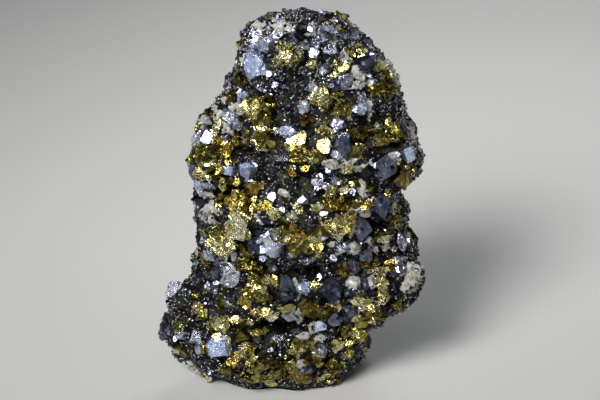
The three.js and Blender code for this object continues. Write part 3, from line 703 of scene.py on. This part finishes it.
def sites(spacing):
    """Spots about a spacing apart all over the rock: on the flank, the k-th is k golden angles round and
    an even share of the height up; on the crown it is at a distance from the middle that grows as the
    root of k."""
    flank, crown = (int(area / spacing**2) for area in (FLANK_AREA, CROWN_AREA))
    k = np.arange(flank)
    turn = crowded(GOLDEN * k + draw.uniform(-STRAY, STRAY, flank) * spacing / MEAN_REACH)
    height = TOP * (k + 0.5) / flank + draw.uniform(-STRAY, STRAY, flank) * spacing
    j = np.arange(crown)
    scale = np.sqrt((j + 0.5) / crown)
    turns = np.concatenate([turn, GOLDEN * j])
    heights = np.concatenate([np.clip(height, LOWEST, TOP), np.full(crown, TOP)])
    scales = np.concatenate([np.ones(flank), scale])
    return ground(turns, heights, scales)[0], square_to(turns, heights, scales)


FACE_EDGE = 0.25  # skin that looks at least this much along VIEW has its grains placed as listed in GRAINS
WILD_SPACING = 6.4
WILD = {
    "bright brass": 0.19, "brass with painted shade": 0.24, "tarnished brass": 0.06, "pale galena": 0.14,
    "galena with painted shade": 0.13, "milky quartz": 0.14, "bare": 0.10,
}
WILD_HALF = 0.25, 0.5  # half sizes of the grains that are scattered, in spacings
# A grain's corners reach this many half sizes along the skin.
FULLNESS = {"chalcopyrite": 1.72, "galena": 1.8, "quartz": 1.95}
# A grain reaches this many of its smaller half size square to the skin, and LEAST more.
THICKNESS = {"chalcopyrite": 1.5, "galena": 1.6, "quartz": 1.1}
LEAST = 0.5
# How deep grains sit, in thicknesses: by mineral, and more on the face, at its edge and on the back.
SUNK_MORE = {"chalcopyrite": 0.05, "galena": 0.0, "quartz": 0.25}
SINK, EDGE_SINK, BACK_SINK = 0.05, 0.68, 0.62
# How far along VIEW the skin looks where the edge and the back begin, and over how much they fade in.
EDGE_FROM, BACK_FROM, SINK_FADE = 0.1, -0.3, 0.4
TABLET, PROUD = 0.6, 0.3  # a grain that looks forwards is this flat, and stands out by this share
NEAR = 1.6  # only points within this many of a grain's longest reach are tried for a seat on it
LOW_RISE, PROUD_RISE = 0.45, 0.8  # what is seen of a grain is this share of its thickness out from its spot
TONE_SPREAD, STAIN_SPREAD = 0.09, 0.12  # how much grains of a kind differ


def depth_of(names, half):
    """How far grains of given kinds and half sizes reach square to the skin."""
    thick = np.array([THICKNESS[KINDS[name][0]] for name in names])
    return thick * half.min(1) + LEAST


def laid_out():
    """Every grain as (kinds, spots, outs, half sizes): those of the face from GRAINS, and elsewhere one
    for each wide site, of a kind drawn by the shares of WILD. What is seen of a grain stands out from its
    spot, so the spots of the face are found in three passes, each corrected by how far off the last one
    was seen."""
    names = [name for name, rows in GRAINS.items() for _ in rows]
    rows = np.concatenate([np.array(rows) for rows in GRAINS.values()])
    proud = [KINDS[name][3] > 0 for name in names]
    rise = depth_of(names, rows[:, 2:]) * np.where(proud, PROUD_RISE, LOW_RISE)
    across, up = rows[:, 0].copy(), rows[:, 1].copy()
    for _ in range(3):
        spot, out = on_face(across, up)
        seen_across, seen_up = shown_at(spot + out * rise[:, None])
        across += rows[:, 0] - seen_across
        up += rows[:, 1] - seen_up
    wild_spot, wild_out = sites(WILD_SPACING)
    picks = draw.choice(len(WILD), len(wild_spot), p=list(WILD.values()))
    wild_names = [list(WILD)[pick] for pick in picks]
    wild_half = WILD_SPACING * draw.uniform(*WILD_HALF, (len(wild_spot), 2))
    wild = np.flatnonzero((wild_out @ VIEW < FACE_EDGE) & (np.array(wild_names) != "bare"))
    return (
        names + [wild_names[at] for at in wild], np.concatenate([spot, wild_spot[wild]]),
        np.concatenate([out, wild_out[wild]]), np.concatenate([rows[:, 2:], wild_half[wild]]),
    )


class Grains:
    """The large grains: flat-faced lumps stretched to their half sizes along the skin, and sunk into it,
    deeper where the skin turns away from the camera."""

    def __init__(self):
        self.names, spot, self.out, half = laid_out()
        count = len(self.names)
        columns = map(np.array, zip(*(KINDS[name] for name in self.names)))
        self.mineral, tone, stain, forward, self.overgrown = columns
        self.tone = np.clip(tone + draw.normal(0, TONE_SPREAD, count), 0, 1)
        self.stain = np.clip(stain + draw.normal(0, STAIN_SPREAD, count), 0, 1)
        forward = forward[:, None, None]
        sheen = SHEENS[np.where(self.out[:, 0] < -0.1, 1, 0)]
        towards_light = aimed(np.where(forward[..., 0] == 1, GLINT, sheen))
        self.turn = np.where(forward > 0, towards_light, spins(count))
        along = upright(self.out)
        full = np.array([FULLNESS[name] for name in self.mineral])
        deep = depth_of(self.names, half)
        stretch = np.concatenate([full[:, None] * half, deep[:, None]], 1)
        tabular = np.where(forward > 0, np.array([1, 1, TABLET]), 1)
        self.shape = along * stretch[:, None] @ along.transpose(0, 2, 1) @ (self.turn * tabular)
        facing = self.out @ VIEW
        sink = EDGE_SINK + (SINK - EDGE_SINK) * smooth_step((facing - EDGE_FROM) / SINK_FADE)
        sink = sink + (BACK_SINK - EDGE_SINK) * smooth_step((BACK_FROM - facing) / SINK_FADE)
        sink = sink + np.array([SUNK_MORE[name] for name in self.mineral])
        sink = np.where(forward[:, 0, 0] > 0, -PROUD, sink)
        self.centre = spot - self.out * (sink * deep)[:, None]
        self.size = stretch.max(1)
        self.kind = draw.integers(0, HABITS, count)

    def seat(self, point, out):
        """Where lines that leave the skin at points, along their outs, come out of the grains: how far
        along, which grain (-1 for none), and the face's own direction there. A plane n.x = r of a grain
        of shape S is cut at (r + m.c - m.p) / m.o with m = n S^-1; the line is inside from the last plane
        it enters to the first it leaves."""
        best = np.zeros(len(point))
        grain = np.full(len(point), -1)
        normal = out.copy()
        for at in range(len(self.names)):
            distance = np.linalg.norm(point - self.centre[at], axis=1)
            near = np.flatnonzero(distance < NEAR * self.size[at])
            habit = LARGE[self.mineral[at]][self.kind[at]]
            planes = habit.normals @ np.linalg.inv(self.shape[at])
            slope = out[near] @ planes.T
            room = habit.reaches - (point[near] - self.centre[at]) @ planes.T
            away = room / np.where(slope == 0, 1e-9, slope)
            leaving = np.where(slope > 0, away, np.inf)
            entering = np.where(slope < 0, away, -np.inf).max(1)
            exit_plane = leaving.argmin(1)
            leave = leaving.min(1)
            better = (leave > entering) & (leave > best[near])
            chosen = near[better]
            best[chosen] = leave[better]
            grain[chosen] = at
            normal[chosen] = unit(planes[exit_plane[better]])
        return best, grain, normal


# ---- the broken rock between the grains ----------------------------------------------------------

# Fields of broken grains: size, how far they stand out, steepness. In grain sizes, a pyramid is up to
# TALLER taller than the rest, and all are lifted by LIFTED; then all sinks by SOCKET.
BREAKAGE = [(5.5, 1.5, 0.85), (2.2, 0.6, 0.8)]
TALLER, LIFTED, SOCKET = 0.5, 0.25, 0.9


def hashed(cells, use):
    """A repeatable number from 0 to 1 for each whole-number cell: the fraction of an enlarged sine."""
    value = np.sin(cells @ np.array([12.9898, 78.233, 37.719]) + use * 4.137) * 43758.5453
    return value - np.floor(value)


def broken(point, size, steepness):
    """Height of a field of broken grains, in grain sizes: each cell of a cubic lattice holds a seed, and
    round each seed stands a crooked pyramid that falls with the largest distance along its own three
    axes. The highest pyramid of the 27 cells round a point counts."""
    cell = np.floor(point / size)
    best = np.full(point.shape[:-1], -9.0)
    for step in itertools.product((-1, 0, 1), repeat=3):
        near = cell + step
        seed = (near + np.stack([hashed(near, use) for use in (1, 2, 3)], -1)) * size
        entries = np.stack([hashed(near, use) - 0.5 for use in range(4, 13)], -1)
        axes = unit(entries.reshape(near.shape[:-1] + (3, 3)))
        away = np.abs(np.einsum("...ij,...j->...i", axes, point - seed)).max(-1) / size
        best = np.maximum(best, hashed(near, 13) * TALLER - steepness * away)
    return best


def broken_height(point):
    """How far the broken rock lies above (or, below nought, under) the skin at points: the sum of its
    fields of grains, less SOCKET."""
    return sum(amount * (broken(point, size, steep) + LIFTED) for size, amount, steep in BREAKAGE) - SOCKET


# ---- the small crystals --------------------------------------------------------------------------

# Spacings of the small crystals: on the grains, and on the bare ground of the face and behind it.
GRAIN_SPACING, FACE_SPACING, BACK_SPACING = 1.2, 0.66, 1.15
FINEST, COARSEST = 0.5, 1.0  # their radii, in spacings
SHINGLE, CLEAVED = 16, 9  # degrees by which small crystals stray from their grain's face, or its own turn
# By mineral: how much its crystals grow along their own axes, their size, and how far their middles stand
# above their seats, in radii.
PROPORTIONS = {
    "chalcopyrite": (1.5, 1.1, 0.8), "galena": (1, 1, 1), "sphalerite": (1, 1, 1), "quartz": (1, 1, 1),
}
GROWTH = {"chalcopyrite": 1.25, "galena": 0.95, "sphalerite": 0.9, "quartz": 0.75}
RISE = {"chalcopyrite": -0.3, "galena": -0.3, "sphalerite": 0.1, "quartz": 0.05}
# Shares of the minerals on the bare ground: in black druse, in grey speckle, and in the pale right rim.
DRUSE = {"sphalerite": 0.61, "galena": 0.30, "quartz": 0.08, "chalcopyrite": 0.01}
MIXED = {"sphalerite": 0.32, "galena": 0.41, "quartz": 0.24, "chalcopyrite": 0.03}
RIND = {"sphalerite": 0.12, "galena": 0.16, "quartz": 0.70, "chalcopyrite": 0.02}
SPECKLE_EDGE = 0.5  # a spot of speckle ends where its bell curve is this high
RIM_VIEW, RIM_HALF, RIM_RIGHT = 0.1, 0.3, 0.5  # the rim looks so far along VIEW, give or take, and right
BACK_MOTTLE, RIM_MOTTLE = ([9.0, 5.0], 7, 0.15), ([7.0, 4.0], 8, -0.3)  # wavelengths, seed, least height
SPECKS = 0.18  # share of the small crystals on quartz grains that are of the ground's minerals
GROUND_COVER = 0.97  # share of the bare ground's sites that are grown
BACK_LOSS, BACK_EDGE, BACK_FADE = 0.4, 0.35, 0.4  # share lost behind, where the skin looks so far back
SHADE, TINT = 0.24, 0.15  # spread of tone and stain round the grain's own
GROUND_TONES, GROUND_STAINS = (0.2, 0.9), (0, 0.5)
ASKEW = 0.5  # how much the quartz points stray from straight out
FOOT_ROOM = 3.5  # grains of the back are cut short by the floor below this, and stay bare


def picked(shares, count):
    """Minerals drawn by their shares."""
    return np.array(list(shares))[draw.choice(len(shares), count, p=list(shares.values()))]


def seats(grains, spacing, wanted):
    """The wanted sites of a spacing: their spots, outs, lifts, grains, face directions and spacing."""
    point, out = sites(spacing)
    lift, grain, normal = grains.seat(point, out)
    kept = wanted(out, grain >= 0)
    return point[kept], out[kept], lift[kept], grain[kept], normal[kept], np.full(int(kept.sum()), spacing)


def mineral_of(point, out, grain, grains):
    """The mineral of each small crystal. On a grain it is the grain's, but for a few specks on quartz. On
    the bare ground it is drawn from MIXED on the spots of SPECKLE and in a mottle behind, from RIND in a
    mottle along the right rim, and else from DRUSE."""
    count = len(point)
    in_spot = patch(point, SPECKLE) > SPECKLE_EDGE
    speckled = np.where(point[:, 1] < 0, in_spot, mottled(point, *BACK_MOTTLE))
    mineral = np.where(speckled, picked(MIXED, count), picked(DRUSE, count))
    right_rim = (np.abs(out @ VIEW - RIM_VIEW) < RIM_HALF) & (out[:, 0] > RIM_RIGHT)
    mineral = np.where(right_rim & mottled(point, *RIM_MOTTLE), picked(RIND, count), mineral)
    speck = (grains.mineral[grain] == "quartz") & (draw.uniform(size=count) < SPECKS)
    return np.where((grain >= 0) & ~speck, grains.mineral[grain], mineral)


def small_crystals(crops, grains):
    """The fine growth, seated on the large grains, or on the broken rock where that lies under the skin.
    A crystal on a grain has nearly its tone and stain, and is turned nearly as it is, or, of
    chalcopyrite, nearly flat on its face. Quartz points outwards. Fewer grow on the back, and none where
    the floor cuts a grain short."""
    point, out, lift, grain, normal, spacing = (np.concatenate(part) for part in zip(
        seats(grains, GRAIN_SPACING, lambda out, on_grain: on_grain),
        seats(grains, FACE_SPACING, lambda out, on_grain: ~on_grain & (out @ VIEW > FACE_EDGE)),
        seats(grains, BACK_SPACING, lambda out, on_grain: ~on_grain & (out @ VIEW <= FACE_EDGE)),
    ))
    count = len(point)
    on_grain = grain >= 0
    mineral = mineral_of(point, out, grain, grains)
    behind = smooth_step((out[:, 1] - BACK_EDGE) / BACK_FADE)
    share = np.where(on_grain, grains.overgrown[grain], GROUND_COVER) * (1 - BACK_LOSS * behind)
    radius = spacing * draw.uniform(FINEST, COARSEST, count)
    shaded = grains.tone[grain] + draw.normal(0, SHADE, count)
    tone = np.where(on_grain, shaded, draw.uniform(*GROUND_TONES, count))
    tinted = grains.stain[grain] + draw.normal(0, TINT, count)
    stain = np.where(on_grain, tinted, draw.uniform(*GROUND_STAINS, count))
    turn = spins(count)
    cut_off = on_grain & (point[:, 2] < FOOT_ROOM) & (out[:, 1] > 0)
    grown = (draw.uniform(size=count) < share) & ~cut_off
    lift = np.where(on_grain, lift, np.minimum(broken_height(point), 0))
    seat = point + out * lift[:, None]
    for name in SMALL:
        of = np.flatnonzero(grown & (mineral == name))
        size = GROWTH[name] * radius[of]
        turns = turn[of]
        on = on_grain[of]
        if name == "quartz":
            turns = aimed(out[of] + ASKEW * draw.normal(size=(len(of), 3)))
        elif name == "chalcopyrite":
            turns[on] = nudged(aimed(normal[of][on]), SHINGLE)
        elif name == "galena":
            turns[on] = nudged(grains.turn[grain[of][on]], CLEAVED)
        shapes = turns * (size[:, None] * np.array(PROPORTIONS[name]))[:, None]
        centre = seat[of] + normal[of] * (RISE[name] * size)[:, None]
        tones, stains = np.clip(tone[of], 0, 1), np.clip(stain[of], 0, 1)
        crops[f"{name}_druse"].grow(centre, shapes, tones, stains)


# ---- the matrix ----------------------------------------------------------------------------------

ROUND, CROWN_ROWS, FLANK_ROWS, FOOT_ROWS = 340, 16, 210, 10  # points in a ring, and rings


def matrix_mesh():
    """The rock itself: rings of the skin from the middle of the crown, down the flank and in across the
    foot, roughened into broken grains. Its two poles are single points."""
    turn = crowded(2 * math.pi * np.arange(ROUND) / ROUND)
    scale = np.concatenate([
        np.arange(1, CROWN_ROWS) / CROWN_ROWS, np.ones(FLANK_ROWS),
        np.arange(FOOT_ROWS - 1, 0, -1) / FOOT_ROWS,
    ])
    height = np.concatenate([
        np.full(CROWN_ROWS - 1, TOP), TOP * np.linspace(1, 0, FLANK_ROWS), np.zeros(FOOT_ROWS - 1),
    ])
    point, out = ground(turn[None], height[:, None], scale[:, None])
    ends, ends_out = ground(0.0, np.array([TOP, 0.0]), np.array([1e-6, 1e-6]))
    rings, sides = point.shape[:2]
    point = np.concatenate([point.reshape(-1, 3), ends])
    out = np.concatenate([out.reshape(-1, 3), ends_out])
    standing = np.concatenate([np.repeat(height > 0, sides), [True, False]])
    point = point + out * (broken_height(point) * standing)[:, None]
    number = np.arange(rings * sides).reshape(rings, sides)
    after = np.roll(number, -1, axis=1)
    quads = np.stack([number[:-1], after[:-1], after[1:], number[1:]], -1).reshape(-1, 4)
    top_fan = np.stack([np.full(sides, rings * sides), after[0], number[0]], -1)
    foot_fan = np.stack([np.full(sides, rings * sides + 1), number[-1], after[-1]], -1)
    loops = np.concatenate([quads.ravel(), top_fan.ravel(), foot_fan.ravel()])
    totals = np.concatenate([np.full(len(quads), 4), np.full(2 * sides, 3)])
    return mesh_of("matrix", point, loops, totals)


# ---- finishes ------------------------------------------------------------------------------------

class Finish:
    """A node material, with short ways to add and join nodes."""

    def __init__(self, name):
        self.material = bpy.data.materials.new(name)
        self.material.use_nodes = True
        self.tree = self.material.node_tree
        self.shader = self.tree.nodes["Principled BSDF"]
        self.objects = self.node("ShaderNodeTexCoord").outputs["Object"]

    def node(self, kind, inputs=None, **settings):
        """A node with its settings, and its input sockets set to a value or joined to an output."""
        made = self.tree.nodes.new(kind)
        for key, value in settings.items():
            setattr(made, key, value)
        for key, value in (inputs or {}).items():
            self.put(made.inputs[key], value)
        return made

    def put(self, socket, value):
        """Joins a socket to another node's output, or sets it to a value."""
        if isinstance(value, bpy.types.NodeSocket):
            self.tree.links.new(value, socket)
        else:
            socket.default_value = value

    def ramp(self, factor, stops):
        """Colours by factor: stops are place and colour."""
        made = self.node("ShaderNodeValToRGB", {"Fac": factor})
        elements = made.color_ramp.elements
        while len(elements) < len(stops):
            elements.new(1.0)
        for element, (place, colour) in zip(elements, stops):
            element.position = place
            element.color = (*colour, 1)
        return made.outputs["Color"]

    def noise(self, scale, detail=3.0, roughness=0.55):
        """Cloudy noise, about 1/scale metres wide."""
        made = self.node("ShaderNodeTexNoise", {
            "Vector": self.objects, "Scale": scale, "Detail": detail, "Roughness": roughness,
        })
        return made.outputs["Fac"]

    def vector(self, operation, a, b):
        """Vector maths on a and b: the vector, or the number of a dot product."""
        made = self.node("ShaderNodeVectorMath", {0: a, 1: b}, operation=operation)
        return made.outputs["Value" if operation == "DOT_PRODUCT" else "Vector"]

    def maths(self, operation, a, b=0.0, c=0.0):
        """Maths on up to three numbers."""
        made = self.node("ShaderNodeMath", operation=operation)
        for socket, value in zip(made.inputs, (a, b, c)):
            self.put(socket, value)
        return made.outputs["Value"]

    def mix(self, factor, a, b, blend="MIX"):
        """Colour a blended with colour b by a factor."""
        made = self.node("ShaderNodeMix", data_type="RGBA", blend_type=blend)
        colours = [socket for socket in made.inputs if socket.type == "RGBA"]
        self.put(made.inputs["Factor"], factor)
        for socket, value in zip(colours, (a, b)):
            self.put(socket, (*value, 1) if isinstance(value, tuple) else value)
        return next(socket for socket in made.outputs if socket.type == "RGBA")

    def range(self, value, low, high, from_low=0.0, from_high=1.0):
        """From low to high as the value goes from from_low to from_high, and no further either way."""
        made = self.node("ShaderNodeMapRange", {
            "Value": value, "From Min": from_low, "From Max": from_high, "To Min": low, "To Max": high,
        })
        return made.outputs["Result"]

    def varied(self, low, high, scale, detail=3.0, roughness=0.55, among=(0.3, 0.7)):
        """A number that wanders from low to high, as noise goes from one end of `among` to the other."""
        return self.range(self.noise(scale, detail, roughness), low, high, *among)

    def bump(self, height, distance, strength=1.0, normal=None):
        """Small relief: the normal of a height times a distance in metres."""
        inputs = {"Height": height, "Distance": distance, "Strength": strength}
        if normal is not None:
            inputs["Normal"] = normal
        return self.node("ShaderNodeBump", inputs).outputs["Normal"]

    def facets(self, scale, tilt, normal=None):
        """Tiny flat facets, about 1/scale wide: round each seed of a Voronoi pattern the height is a
        plane through the seed that leans by the cell's own random colour, times tilt."""
        cells = self.node("ShaderNodeTexVoronoi", {"Vector": self.objects, "Scale": scale})
        lean = self.vector("SUBTRACT", cells.outputs["Color"], (0.5, 0.5, 0.5))
        away = self.vector("SUBTRACT", self.objects, cells.outputs["Position"])
        return self.bump(self.vector("DOT_PRODUCT", lean, away), tilt, 1.0, normal)

    def attribute(self, name, output="Fac"):
        """What the crystal's corners keep under a name."""
        return self.node("ShaderNodeAttribute", attribute_name=name).outputs[output]

    def set(self, **inputs):
        """Puts values on the shader's inputs, each named as on the node, with _ for a space."""
        names = {key.replace("_", " ").lower(): key for key in inputs}
        for socket in self.shader.inputs:
            key = names.get(socket.name.lower())
            if key:
                self.put(socket, inputs[key])


def chalcopyrite_finish():
    """Brass-yellow metal, striated, with painted shade along a net of fine cracks: olive where its tone is
    low, which on the darker copy of the brass is painted shade, and orange where stained.
    """
    made = Finish("chalcopyrite")
    tone = made.attribute("tone")
    stain = made.attribute("stain")
    own = made.attribute("own", "Vector")
    mottle = made.varied(-0.28, 0.24, 420, 5, 0.75)
    brass = made.ramp(made.maths("ADD", tone, mottle), [
        (0.0, (0.014, 0.013, 0.005)), (0.3, (0.09, 0.083, 0.022)), (0.6, (0.42, 0.39, 0.13)),
        (0.8, (0.80, 0.75, 0.36)), (1.0, (1.0, 0.97, 0.76)),
    ])
    spots = made.varied(0.0, 0.15, 160, among=(0.5, 0.66))
    tarnish = made.maths("MULTIPLY_ADD", stain, 0.55, spots)
    # Painted shade: the colour goes nearly black along the edges of cells about 1.5 mm wide, standing in
    # for the shade in cracks between crystals.
    crack = made.node("ShaderNodeTexVoronoi", {"Vector": made.objects, "Scale": 650.0},
                      feature="DISTANCE_TO_EDGE").outputs["Distance"]
    crack_shade = made.range(crack, 0.5, 1.0, 0.01, 0.08)
    brass = made.mix(tarnish, brass, (0.60, 0.38, 0.05))
    made.set(Base_Color=made.mix(crack_shade, (0.012, 0.010, 0.004), brass), Metallic=1.0)
    made.set(Roughness=made.varied(0.08, 0.26, 650))
    lines = made.node("ShaderNodeTexWave", {
        "Vector": own, "Scale": 0.55, "Distortion": 3.5, "Detail": 2.0, "Detail Scale": 1.2,
    }, bands_direction="X").outputs["Fac"]
    made.set(Normal=made.facets(2800, 0.25, made.facets(900, 0.25, made.bump(lines, 0.0001, 0.5))))
    return made.material


def galena_finish():
    """Lead-grey metal, bluer where it is stained, with cleavage steps, fine facets and uneven shine."""
    made = Finish("galena")
    tone = made.attribute("tone")
    stain = made.attribute("stain")
    own = made.attribute("own", "Vector")
    mottle = made.varied(-0.18, 0.18, 420, 5, 0.75)
    # The low tones are painted shade on the grains of the dark copies of galena; elsewhere the tone varies
    # at random.
    lead = made.ramp(made.maths("ADD", tone, mottle), [
        (0.0, (0.010, 0.011, 0.015)), (0.25, (0.05, 0.053, 0.072)), (0.6, (0.26, 0.27, 0.34)),
        (1.0, (0.80, 0.83, 0.94)),
    ])
    made.set(Base_Color=made.mix(stain, lead, (1.0, 1.1, 1.4), "MULTIPLY"), Metallic=1.0)
    made.set(Roughness=made.varied(0.12, 0.34, 260, 4))
    steps = made.node("ShaderNodeTexWave", {
        "Vector": own, "Scale": 0.9, "Distortion": 1.2, "Detail": 1.0,
    }, bands_direction="Z", wave_profile="SAW").outputs["Fac"]
    made.set(Normal=made.facets(2800, 0.18, made.facets(800, 0.15, made.bump(steps, 0.00005, 0.4))))
    return made.material


def sphalerite_finish():
    """Black, with a resinous to nearly diamond gloss."""
    made = Finish("sphalerite")
    tone = made.attribute("tone")
    black = made.ramp(tone, [
        (0.3, (0.004, 0.004, 0.005)), (0.6, (0.009, 0.009, 0.010)), (0.8, (0.035, 0.034, 0.036)),
        (1.0, (0.08, 0.077, 0.08)),
    ])
    made.set(Base_Color=black, Metallic=0.0, IOR=1.65, Specular_IOR_Level=0.12)
    made.set(Roughness=made.varied(0.04, 0.14, 700))
    made.set(Normal=made.facets(2000, 0.2))
    return made.material


def quartz_finish():
    """Greyish white to beige, cloudy to clear."""
    made = Finish("quartz")
    tone = made.attribute("tone")
    cloud = made.maths("MULTIPLY_ADD", tone, 0.3, made.noise(560, 5, 0.75))
    white = made.ramp(cloud, [
        (0.35, (0.24, 0.23, 0.20)), (0.6, (0.60, 0.585, 0.52)), (0.82, (0.92, 0.91, 0.86)),
    ])
    made.set(Base_Color=white, Metallic=0.0, IOR=1.54)
    made.set(Transmission_Weight=made.range(tone, 0.05, 0.6))
    made.set(Roughness=made.varied(0.05, 0.22, 800, 2))
    made.set(Normal=made.facets(1500, 1.1))
    return made.material


def matrix_finish():
    """Broken ore: a mosaic of dark zinc blende, brassy and lead-grey grains and dull quartz. Towards the
    front its colour is darkened to all but black, as painted shade between the crystals of the face; the
    broken back shows it plainly."""
    made = Finish("ore")
    warp = made.node("ShaderNodeTexNoise", {"Vector": made.objects, "Scale": 240.0, "Detail": 3.0})
    moved = made.vector("MULTIPLY", warp.outputs["Color"], (0.004, 0.004, 0.004))
    place = made.vector("ADD", made.objects, moved)
    cells = made.node("ShaderNodeTexVoronoi", {"Vector": place, "Scale": 420.0}).outputs["Color"]
    pick = made.node("ShaderNodeSeparateColor", {"Color": cells}).outputs["Red"]
    kind = made.maths("ADD", pick, made.varied(-0.28, 0.28, 90))
    colour = made.ramp(kind, [
        (0.0, (0.006, 0.006, 0.0065)), (0.40, (0.015, 0.014, 0.014)), (0.46, (0.16, 0.165, 0.19)),
        (0.58, (0.24, 0.25, 0.29)), (0.62, (0.24, 0.22, 0.07)), (0.76, (0.40, 0.36, 0.13)),
        (0.82, (0.22, 0.21, 0.19)), (1.0, (0.42, 0.41, 0.38)),
    ])
    stone, metal = (0, 0, 0), (1, 1, 1)
    metallic = made.ramp(kind, [
        (0.0, stone), (0.42, stone), (0.46, metal), (0.77, metal), (0.81, stone), (1.0, stone),
    ])
    # Painted shade: the colour is multiplied down to 0.15 towards the front (object Y below -8 mm),
    # standing in for the shade between the crystals of the face.
    depth = made.node("ShaderNodeSeparateXYZ", {"Vector": made.objects}).outputs["Y"]
    colour = made.mix(1.0, colour, made.range(depth, 0.15, 1.0, -0.008, 0.004), "MULTIPLY")
    dirt = made.varied(0.0, 0.8, 700, 5, 0.7, (0.40, 0.65))
    made.set(Base_Color=made.mix(dirt, colour, (0.006, 0.0055, 0.005)), Metallic=metallic)
    made.set(Specular_IOR_Level=0.06, Roughness=made.varied(0.3, 0.7, 500))
    made.set(Normal=made.bump(made.noise(900, 4, 0.65), 0.0005, 0.6))
    return made.material


def floor_finish():
    """Plain warm white."""
    made = Finish("floor")
    made.set(Base_Color=(0.72, 0.71, 0.69, 1), Roughness=0.6)
    return made.material


# ---- making the specimen -------------------------------------------------------------------------

FINISHES = {
    "ore": matrix_finish(),
    "chalcopyrite": chalcopyrite_finish(),
    "galena": galena_finish(),
    "sphalerite": sphalerite_finish(),
    "quartz": quartz_finish(),
}


def make_specimen():
    """The rock, its large grains and its fine growth, one piece for each mineral and size."""
    rock = piece(matrix_mesh(), FINISHES["ore"])
    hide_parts("specimen")
    grains = Grains()
    crops = {f"{name}_grains": Crop(habits) for name, habits in LARGE.items()}
    crops |= {f"{name}_druse": Crop(habits) for name, habits in SMALL.items()}
    for name in LARGE:
        of = grains.mineral == name
        parts = (grains.centre, grains.shape, grains.tone, grains.stain, grains.kind)
        crops[f"{name}_grains"].grow(*(part[of] for part in parts))
    small_crystals(crops, grains)
    for name, crop in crops.items():
        mineral = name.split("_")[0]
        piece(crop.mesh(name), FINISHES[mineral])


# ---- the studio ----------------------------------------------------------------------------------

LENS = 149.76
AIM = (LOOK_AT - BOX_MIDDLE) * MM
FLOOR_REACH = 20.0
SKY, SKY_STRENGTH = (0.9, 0.95, 1, 1), 0.004
WHITE, COOL, PALE = (1, 1, 1), (0.88, 0.94, 1), (0.93, 0.96, 1)
# Soft lights: name, heading and rise in degrees, distance, size, power, spread in degrees, where it looks
# past AIM, and colour.
LIGHTS = [
    ("key", -28, 38, 0.9, 0.40, 0.86, 40, (0, 0.06, 0.06), WHITE),
    ("right", 55, 20, 0.8, 0.42, 0.42, 180, (0, 0, 0), COOL),
    ("left", -70, 15, 0.8, 0.42, 0.50, 180, (0, 0, 0), COOL),
    ("top", 0, 70, 0.8, 0.3, 0.15, 60, (0, 0.40, 0), WHITE),
    ("rim", 160, 40, 0.9, 0.6, 0.9, 120, (0, 0, 0), PALE),
]


def looking(direction):
    """The turn of a camera or a light that looks in a direction."""
    return Vector(direction).to_track_quat("-Z", "Y").to_euler()


def make_camera():
    """The camera, VIEW_DISTANCE out from AIM along VIEW."""
    camera = put_in("camera", bpy.data.cameras.new("camera"))
    camera.data.lens = LENS
    camera.location = Vector(AIM + VIEW_DISTANCE * MM * VIEW)
    camera.rotation_euler = looking(-VIEW)
    bpy.context.scene.camera = camera


def make_light(name, heading, rise, distance, size, power, spread, aim, colour):
    """A square soft light that looks at the specimen from a heading: 0 in front, + to the right."""
    lamp = bpy.data.lights.new(name, "AREA")
    lamp.size = size
    lamp.energy = power
    lamp.spread = math.radians(spread)
    lamp.color = colour
    made = put_in(name, lamp)
    made.location = Vector(AIM + distance * headed(heading, rise) * (1, -1, 1))
    made.rotation_euler = looking(Vector(AIM) + Vector(aim) - made.location)


def make_studio():
    """A wide floor, a faint sky and the lights."""
    corners = [(x * FLOOR_REACH, y * FLOOR_REACH, 0) for x, y in ((-1, -1), (1, -1), (1, 1), (-1, 1))]
    mesh = bpy.data.meshes.new("floor")
    mesh.from_pydata(corners, [], [(0, 1, 2, 3)])
    mesh.materials.append(floor_finish())
    put_in("floor", mesh)
    world = bpy.data.worlds.new("studio")
    world.use_nodes = True
    background = world.node_tree.nodes["Background"]
    background.inputs["Color"].default_value = SKY
    background.inputs["Strength"].default_value = SKY_STRENGTH
    bpy.context.scene.world = world
    for light in LIGHTS:
        make_light(*light)
    bpy.context.scene.view_settings.view_transform = "Standard"


make_camera()
make_studio()
make_specimen()
